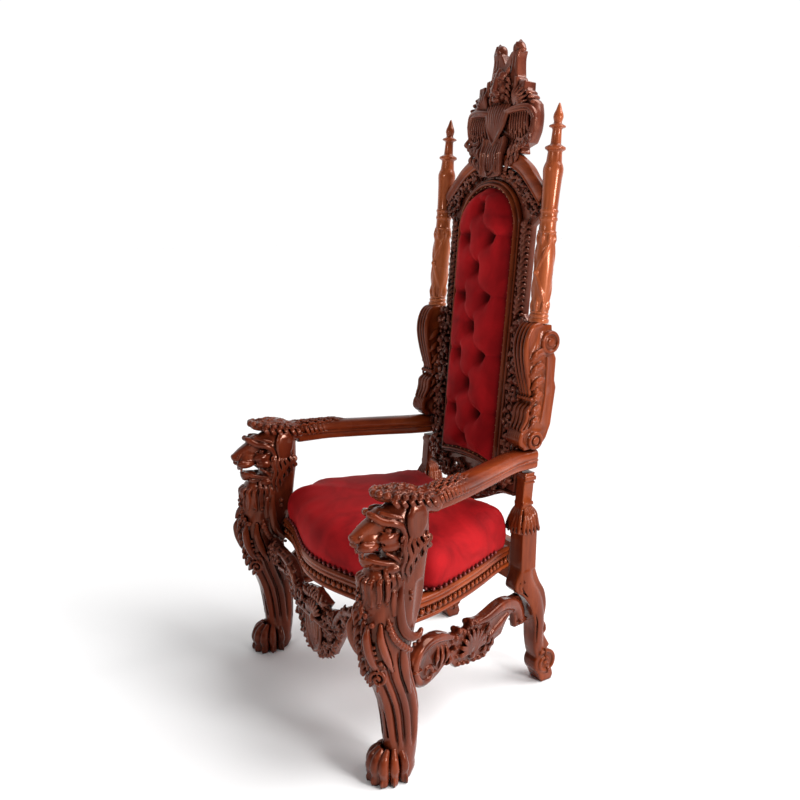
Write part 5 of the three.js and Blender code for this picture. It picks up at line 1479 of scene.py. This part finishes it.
def front_apron():
    """The pierced apron between the lions, with its cartouche."""
    clay = Clay((-318, -308, 140), (318, -254, 404), 2.2)
    top = [(0, 360), (16, 352), (32, 350), (52, 344), (73, 341), (60, 326), (47, 313), (70, 322), (96, 331),
        (118, 326), (136, 334), (142, 350), (150, 364), (183, 381), (220, 384), (260, 388), (306, 398)]
    low = [(318, 330), (284, 322), (250, 318), (210, 322), (176, 322), (156, 306), (138, 272), (118, 240),
        (98, 212), (90, 196), (76, 188), (52, 176), (30, 168), (0, 161)]
    right = top + low
    outline = right + [(-x, z) for x, z in right[1:-1]][::-1]
    holes = [ellipse(s * cx, cz, rx, 13, 24) for s in (-1, 1) for cx, cz,
        rx in ((214, 352, 28), (104, 276, 8), (66, 222, 8))]
    clay.slab(outline, 1, -282, -262, edge=3, holes=holes)
    front = -284
    for s in (-1, 1):
        # long scroll from the leg to the middle, with leaves off both edges
        clay.stroke(sided(s, (312, front + 4, 376), (270, front - 2, 376), (210, front - 4, 372),
            (164, front - 5, 358), (136, front - 6, 332), (120, front - 6, 304), (122, front - 6, 282)),
            [12, 9, 8, 9, 10, 10, 6], [8, 8, 8, 8, 8, 8, 5], side=(0, 0, 1), blend=1.5, flutes=2, depth=2.2,
            steps=50)
        clay.stroke(sided(s, (312, front + 4, 342), (270, front, 334), (226, front - 3, 330),
            (184, front - 4, 334), (160, front - 4, 318)), [8, 8, 7, 8, 5], [7, 7, 7, 7, 4], side=(0, 0, 1),
            blend=1.5, flutes=2, depth=2.2, steps=40)
        for (cx, cz, r, way) in ((96, 304, 15, 1), (92, 252, 17, -1), (66, 206, 13, 1), (134, 300, 12, -1),
            (36, 184, 10, -1), (64, 280, 14, 1), (172, 344, 12, 1), (258, 354, 12, -1), (292, 362, 11, 1)):
            curl(clay, s, (cx, front - 3, cz), r, way, 16, 5, [5, 4.5, 3], [7, 7, 5], 1, 44)
            clay.ball((s * cx, front - 9, cz), 5.5, blend=0.8)
            for j in range(5):
                stations = ((r, r, 0, 1), (r * 1.5, r * 1.4, 0.4, 9), (r * 1.9, r * 1.8, 0.8, 3))
                petal(clay, s, (cx, front, cz), radians(20 + 72 * j), stations, [3, 7, 2], [3, 6, 3],
                    blend=0.8, flutes=2, depth=1.6)
        # small leaves along the top edge and hanging from the foot
        for x, z in ((20, 350), (40, 346), (62, 340), (84, 324), (106, 326), (128, 330), (146, 352),
            (166, 370), (196, 378), (226, 380), (256, 384), (284, 390)):
            clay.stroke(sided(s, (x + 6, front + 4, z - 14), (x, front - 4, z - 4),
                (x - 6, front + 4, z + 7)), [4, 7, 3], [4, 6, 3], side=(1, 0, 0), blend=1, flutes=2,
                depth=1.6)
        for x, z in ((16, 166), (34, 172), (54, 180), (74, 190), (90, 202), (102, 220), (118, 244),
            (134, 270), (146, 294), (166, 318), (200, 324), (240, 322), (280, 326)):
            clay.stroke(sided(s, (x - 5, front + 4, z + 14), (x, front - 5, z + 4),
                (x + 4, front + 2, z - 8)), [4, 7, 3], [4, 6, 3], side=(1, 0, 0.4 * s), blend=1, flutes=2,
                depth=1.6)
    # cartouche with a reeded field under a shell
    field = flat_curve([(0, 172), (26, 186), (40, 214), (44, 246), (40, 272)], 12)
    full = field + [(-x, z) for x, z in field[1:]][::-1]
    clay.slab(full, 1, -296, -270, blend=1.5, edge=3)
    clay.stroke([(x, -296, z) for x, z in full + full[:1]], 4.5, blend=1.2, steps=60)
    for x in (-27, -18, -9, 0, 9, 18, 27):
        clay.stroke([(x, -297, 266), (x, -299, 230), (x * 0.8, -296, 188 + abs(x) * 0.7)], [4, 4.2, 2.6],
            [3, 4, 2.5], blend=0.6)
    for k in range(-4, 5):
        a = radians(17 * k)
        clay.stroke([(0, front - 4, 276), (24 * sin(a), front - 15, 286 + 14 * cos(a)),
            (44 * sin(a), front - 13, 284 + 42 * cos(a))], [3, 7, 5], [4, 7, 4], side=(cos(a), 0, -sin(a)),
            flutes=1, depth=1.5)
    clay.ball((0, front - 14, 280), (11, 8, 10), blend=1.5)
    for s in (-1, 1):
        # straight rib that carries the fan, and the pointed leaf that ends the crest
        clay.stroke([(s * 118, front - 8, 270), (s * 60, front - 12, 273), (0, front - 14, 276)], [3, 5, 5],
            [5, 6, 6], side=(0, 0, 1))
        clay.stroke(sided(s, (36, front - 4, 328), (56, front - 9, 336), (76, front - 3, 342)), [9, 9, 2],
            [6, 7, 3], side=(0, 0, 1), flutes=2, depth=2)
        for k in range(4):
            clay.stroke(sided(s, (6 + 14 * k, front + 2, 318 - 2 * k), (7 + 15 * k, front - 7, 334 - 2 * k),
                (4 + 15 * k, front + 2, 352 - 3 * k)), [5, 8, 3], [4, 7, 3], side=(1, 0, 0), flutes=2,
                depth=2)
    return clay.mesh()


def stretcher():
    """The left stretcher, drawn square and turned to run from the lion to the rear leg."""
    clay = Clay((-22, -12, 164), (22, 500, 344), 2.0)
    top = flat_curve([(-6, 296), (30, 326), (60, 334), (100, 326), (146, 304)], 20) + [(166, 294),
        (182, 310), (200, 300), (216, 288), (232, 314)]
    top += flat_curve([(259, 306), (300, 301), (350, 309), (384, 313), (419, 305), (459, 303)],
        24) + [(474, 284), (489, 256), (494, 236)]
    low = [(494, 206), (468, 201), (444, 204)] + flat_curve([(440, 236), (432, 256), (404, 248),
        (374, 212)], 14) + flat_curve([(344, 208), (326, 188), (284, 174), (236, 186), (170, 198)], 16)
    low += [(150, 222)] + flat_curve([(120, 226), (92, 212), (46, 202), (10, 216), (-6, 248)], 16)
    clay.slab(top + low, 0, -11, 11, edge=5, holes=[ellipse(150, 262, 13, 8, 18)])
    for s in (-1, 1):
        x = s * 11
        # C-scroll from the lion's leg, its volute and the leaf inside it
        clay.stroke(at_x(x, (150, 296), (108, 313), (64, 318), (26, 304), (8, 276), (10, 244), (28, 222),
            (54, 218), (68, 234), (62, 250), (48, 252), (42, 241)),
            [7, 12, 13, 13, 12, 11, 10, 9, 8, 7, 6, 5], [6, 7, 8, 8, 8, 8, 8, 7, 6, 6, 5, 5],
            side=(0, 0, 1), steps=80)
        clay.stroke(at_x(x + s * 8, (142, 300), (106, 313), (64, 318), (30, 303), (14, 276), (16, 246)),
            2.4, blend=1.2, cut=True, steps=40)
        for (y0, z0, y1, z1, y2, z2) in ((108, 290, 102, 262, 96, 232), (124, 286, 124, 262, 116, 236),
            (138, 252, 134, 238, 126, 228), (92, 292, 82, 268, 82, 246)):
            clay.stroke([(x, y0, z0), (x + s * 6, y1, z1), (x + s * 2, y2, z2)], [4, 9, 3], [4, 7, 3],
                side=(0, 1, 0), flutes=2, depth=2)
        # leafy, knobbed middle
        for k in range(-4, 5):
            a = radians(20 * k)
            clay.stroke([(x, 232, 210), (x + s * 8, 232 + 24 * sin(a), 226 + 22 * cos(a)),
                (x + s * 7, 234 + 50 * sin(a), 222 + 54 * cos(a)),
                (x, 236 + 62 * sin(a), 220 + 66 * cos(a))], [4, 8, 8.5, 4], [4, 8, 7, 3],
                side=(0, cos(a), -sin(a)), blend=0.7, flutes=2, depth=2.2)
        clay.ball((x + s * 4, 232, 212), (8, 12, 11), blend=1)
        for y, z, r in ((168, 286, 9), (182, 300, 9), (200, 292, 8), (216, 282, 8), (232, 302, 9),
            (250, 298, 7), (176, 208, 8), (196, 202, 7), (216, 196, 7), (244, 192, 8), (266, 188, 8),
            (288, 186, 8), (308, 194, 7), (148, 284, 6), (164, 258, 6), (168, 232, 6)):
            clay.ball((x - s * 2, y, z), (10, r, r), blend=0.7)
        # smooth thick band to the rear leg, with a scrolled lower edge
        clay.stroke(at_x(x, (262, 292), (306, 290), (352, 296), (386, 297), (420, 288), (450, 270),
            (470, 232), (472, 212)), [6, 12, 15, 16, 17, 18, 16, 12], [4, 8, 9, 9, 9, 9, 8, 7],
            side=(0, 0, 1), blend=1.5, steps=50)
        clay.stroke([(x + s * 8, 300, 278), (x + s * 9, 352, 283), (x + s * 9, 398, 280),
            (x + s * 8, 432, 262)], 2.2, blend=1.2, cut=True, steps=30)
        clay.stroke(at_x(x, (310, 222), (334, 238), (366, 250), (398, 264)), [6, 11, 12, 8], [4, 7, 8, 6],
            side=(0, 0, 1), blend=1, steps=40)
        for y, z in ((284, 208), (302, 226), (318, 212), (300, 262), (286, 244)):
            clay.stroke([(x, y - 9, z - 8), (x + s * 7, y, z), (x + s * 1, y + 13, z + 9)], [4, 9, 3],
                [4, 7, 3], side=(0, 1, -1), flutes=2, depth=2)
    clay.trim(top + low, 0, 5)
    points, faces = clay.mesh()
    a = atan2(356 - POST_X, 238 + 205)
    x, y, z = points.T
    return np.stack([356 + x * cos(a) - y * sin(a), -205 + x * sin(a) + y * cos(a), z], 1), faces


# ---------------------------------------------------------------- assembly

def pair(name, shape, node, material, limit=None):
    """The left piece and its mirror image on the right."""
    piece(name + "_left", shape, node + "_left", material, limit)
    piece(name + "_right", mirrored(shape), node + "_right", material, limit)


pair("lion", lion(), "lion_leg", LION, 130000)
pair("arm_rail", arm(), "arm", MAHOGANY_ARM, 30000)
pair("back_leg", rear_post(), "rear_post", MAHOGANY, 30000)
pair("console", bracket(), "scroll_bracket", MAHOGANY, 36000)
# the columns take the lighter mahogany with painted light
pair("turned_column", column(), "column", MAHOGANY_LIT, 22000)
piece("arch", arch(), "arched_top_rail", MAHOGANY_RAIL, 16000)
piece("panel_moulding", panel_frame(), "back_panel_frame", MAHOGANY)
pair("pierced_strip", back_carving(), "back_carving", CARVED, 52000)
piece("pierced_rail", lower_rail(), "back_lower_rail", CARVED, 32000)
piece("cresting", crest(), "crest", CARVED, 80000)
piece("bowed_rail", front_rail(), "seat_front_rail", MAHOGANY_RAIL)
pair("serpentine_rail", side_rail(), "seat_side_rail", MAHOGANY_ARM)
piece("apron", front_apron(), "front_apron", CARVED, 44000)
pair("stretcher", stretcher(), "side_stretcher", LION, 32000)
pad = piece("buttoned_pad", back_pad(), "back_upholstery", VELVET)
piece("buttons", pad_buttons(), "back_upholstery", VELVET)
piece("panel_nails", panel_nails(), "back_upholstery", NAILS)
cushion = piece("cushion", seat_cushion(), "seat_cushion", VELVET)
piece("seat_nails", seat_nails(), "seat_cushion", SEAT_NAILS)
for name, material in (("back_panel_board", MAHOGANY), ("seat_rear_rail", MAHOGANY_RAIL)):
    NODES[name].data.materials.clear()
    NODES[name].data.materials.append(material)


# ---------------------------------------------------------------- camera, light and floor

def studio():
    camera = bpy.data.objects.new("camera", bpy.data.cameras.new("camera"))
    camera.data.lens = 36.3
    camera.location = (1.862, -1.191, 1.374)
    camera.rotation_euler = (radians(90 - 13.13), 0, radians(57.62))
    bpy.context.scene.collection.objects.link(camera)
    bpy.context.scene.camera = camera
    bpy.context.scene.view_settings.view_transform = "Standard"

    # a room that is white behind the throne and dimmer in front of it
    world = bpy.data.worlds.new("studio")
    bpy.context.scene.world = world
    world.use_nodes = True
    tree = world.node_tree
    place = add(tree, "ShaderNodeTexCoord")
    facing = add(tree, "ShaderNodeVectorMath", operation="DOT_PRODUCT")
    facing.inputs[1].default_value = (-0.83, 0.55, 0.1)
    tree.links.new(place.outputs["Generated"], facing.inputs[0])
    light = ramp(tree, facing.outputs["Value"], [(0.0, (0.11, 0.1, 0.1)), (0.55, (1.0, 1.0, 1.0))])
    tree.links.new(light, tree.nodes["Background"].inputs["Color"])
    tree.nodes["Background"].inputs["Strength"].default_value = 1.04

    middle = Vector((0, 0, 0.8))

    def lamp(name, kind, place):
        data = bpy.data.lights.new(name, kind)
        made = bpy.data.objects.new(name, data)
        made.location = place
        made.rotation_euler = (middle - Vector(place)).to_track_quat("-Z", "Y").to_euler()
        bpy.context.scene.collection.objects.link(made)
        return data

    sun = lamp("key", "SUN", (1.9, 2.3, 4.2))
    sun.energy, sun.angle = 3.2, radians(38)
    for name, place, size, power in (("side", (3.2, 0.9, 1.5), 0.8, 95),
        ("front", (0.9, -2.9, 2.4), 0.35, 22)):
        box = lamp(name, "AREA", place)
        box.size, box.energy = size, power

    mesh = bpy.data.meshes.new("floor")
    mesh.from_pydata([(-30, -30, 0), (30, -30, 0), (30, 30, 0), (-30, 30, 0)], [], [(0, 1, 2, 3)])
    floor = bpy.data.objects.new("floor", mesh)
    bpy.context.scene.collection.objects.link(floor)
    material, tree = node_tree("floor")
    shader = add(tree, "ShaderNodeBsdfPrincipled")
    shader.inputs["Base Color"].default_value = (0.85, 0.85, 0.85, 1)
    shader.inputs["Roughness"].default_value = 0.7
    tree.links.new(shader.outputs["BSDF"], add(tree, "ShaderNodeOutputMaterial").inputs["Surface"])
    mesh.materials.append(material)


studio()
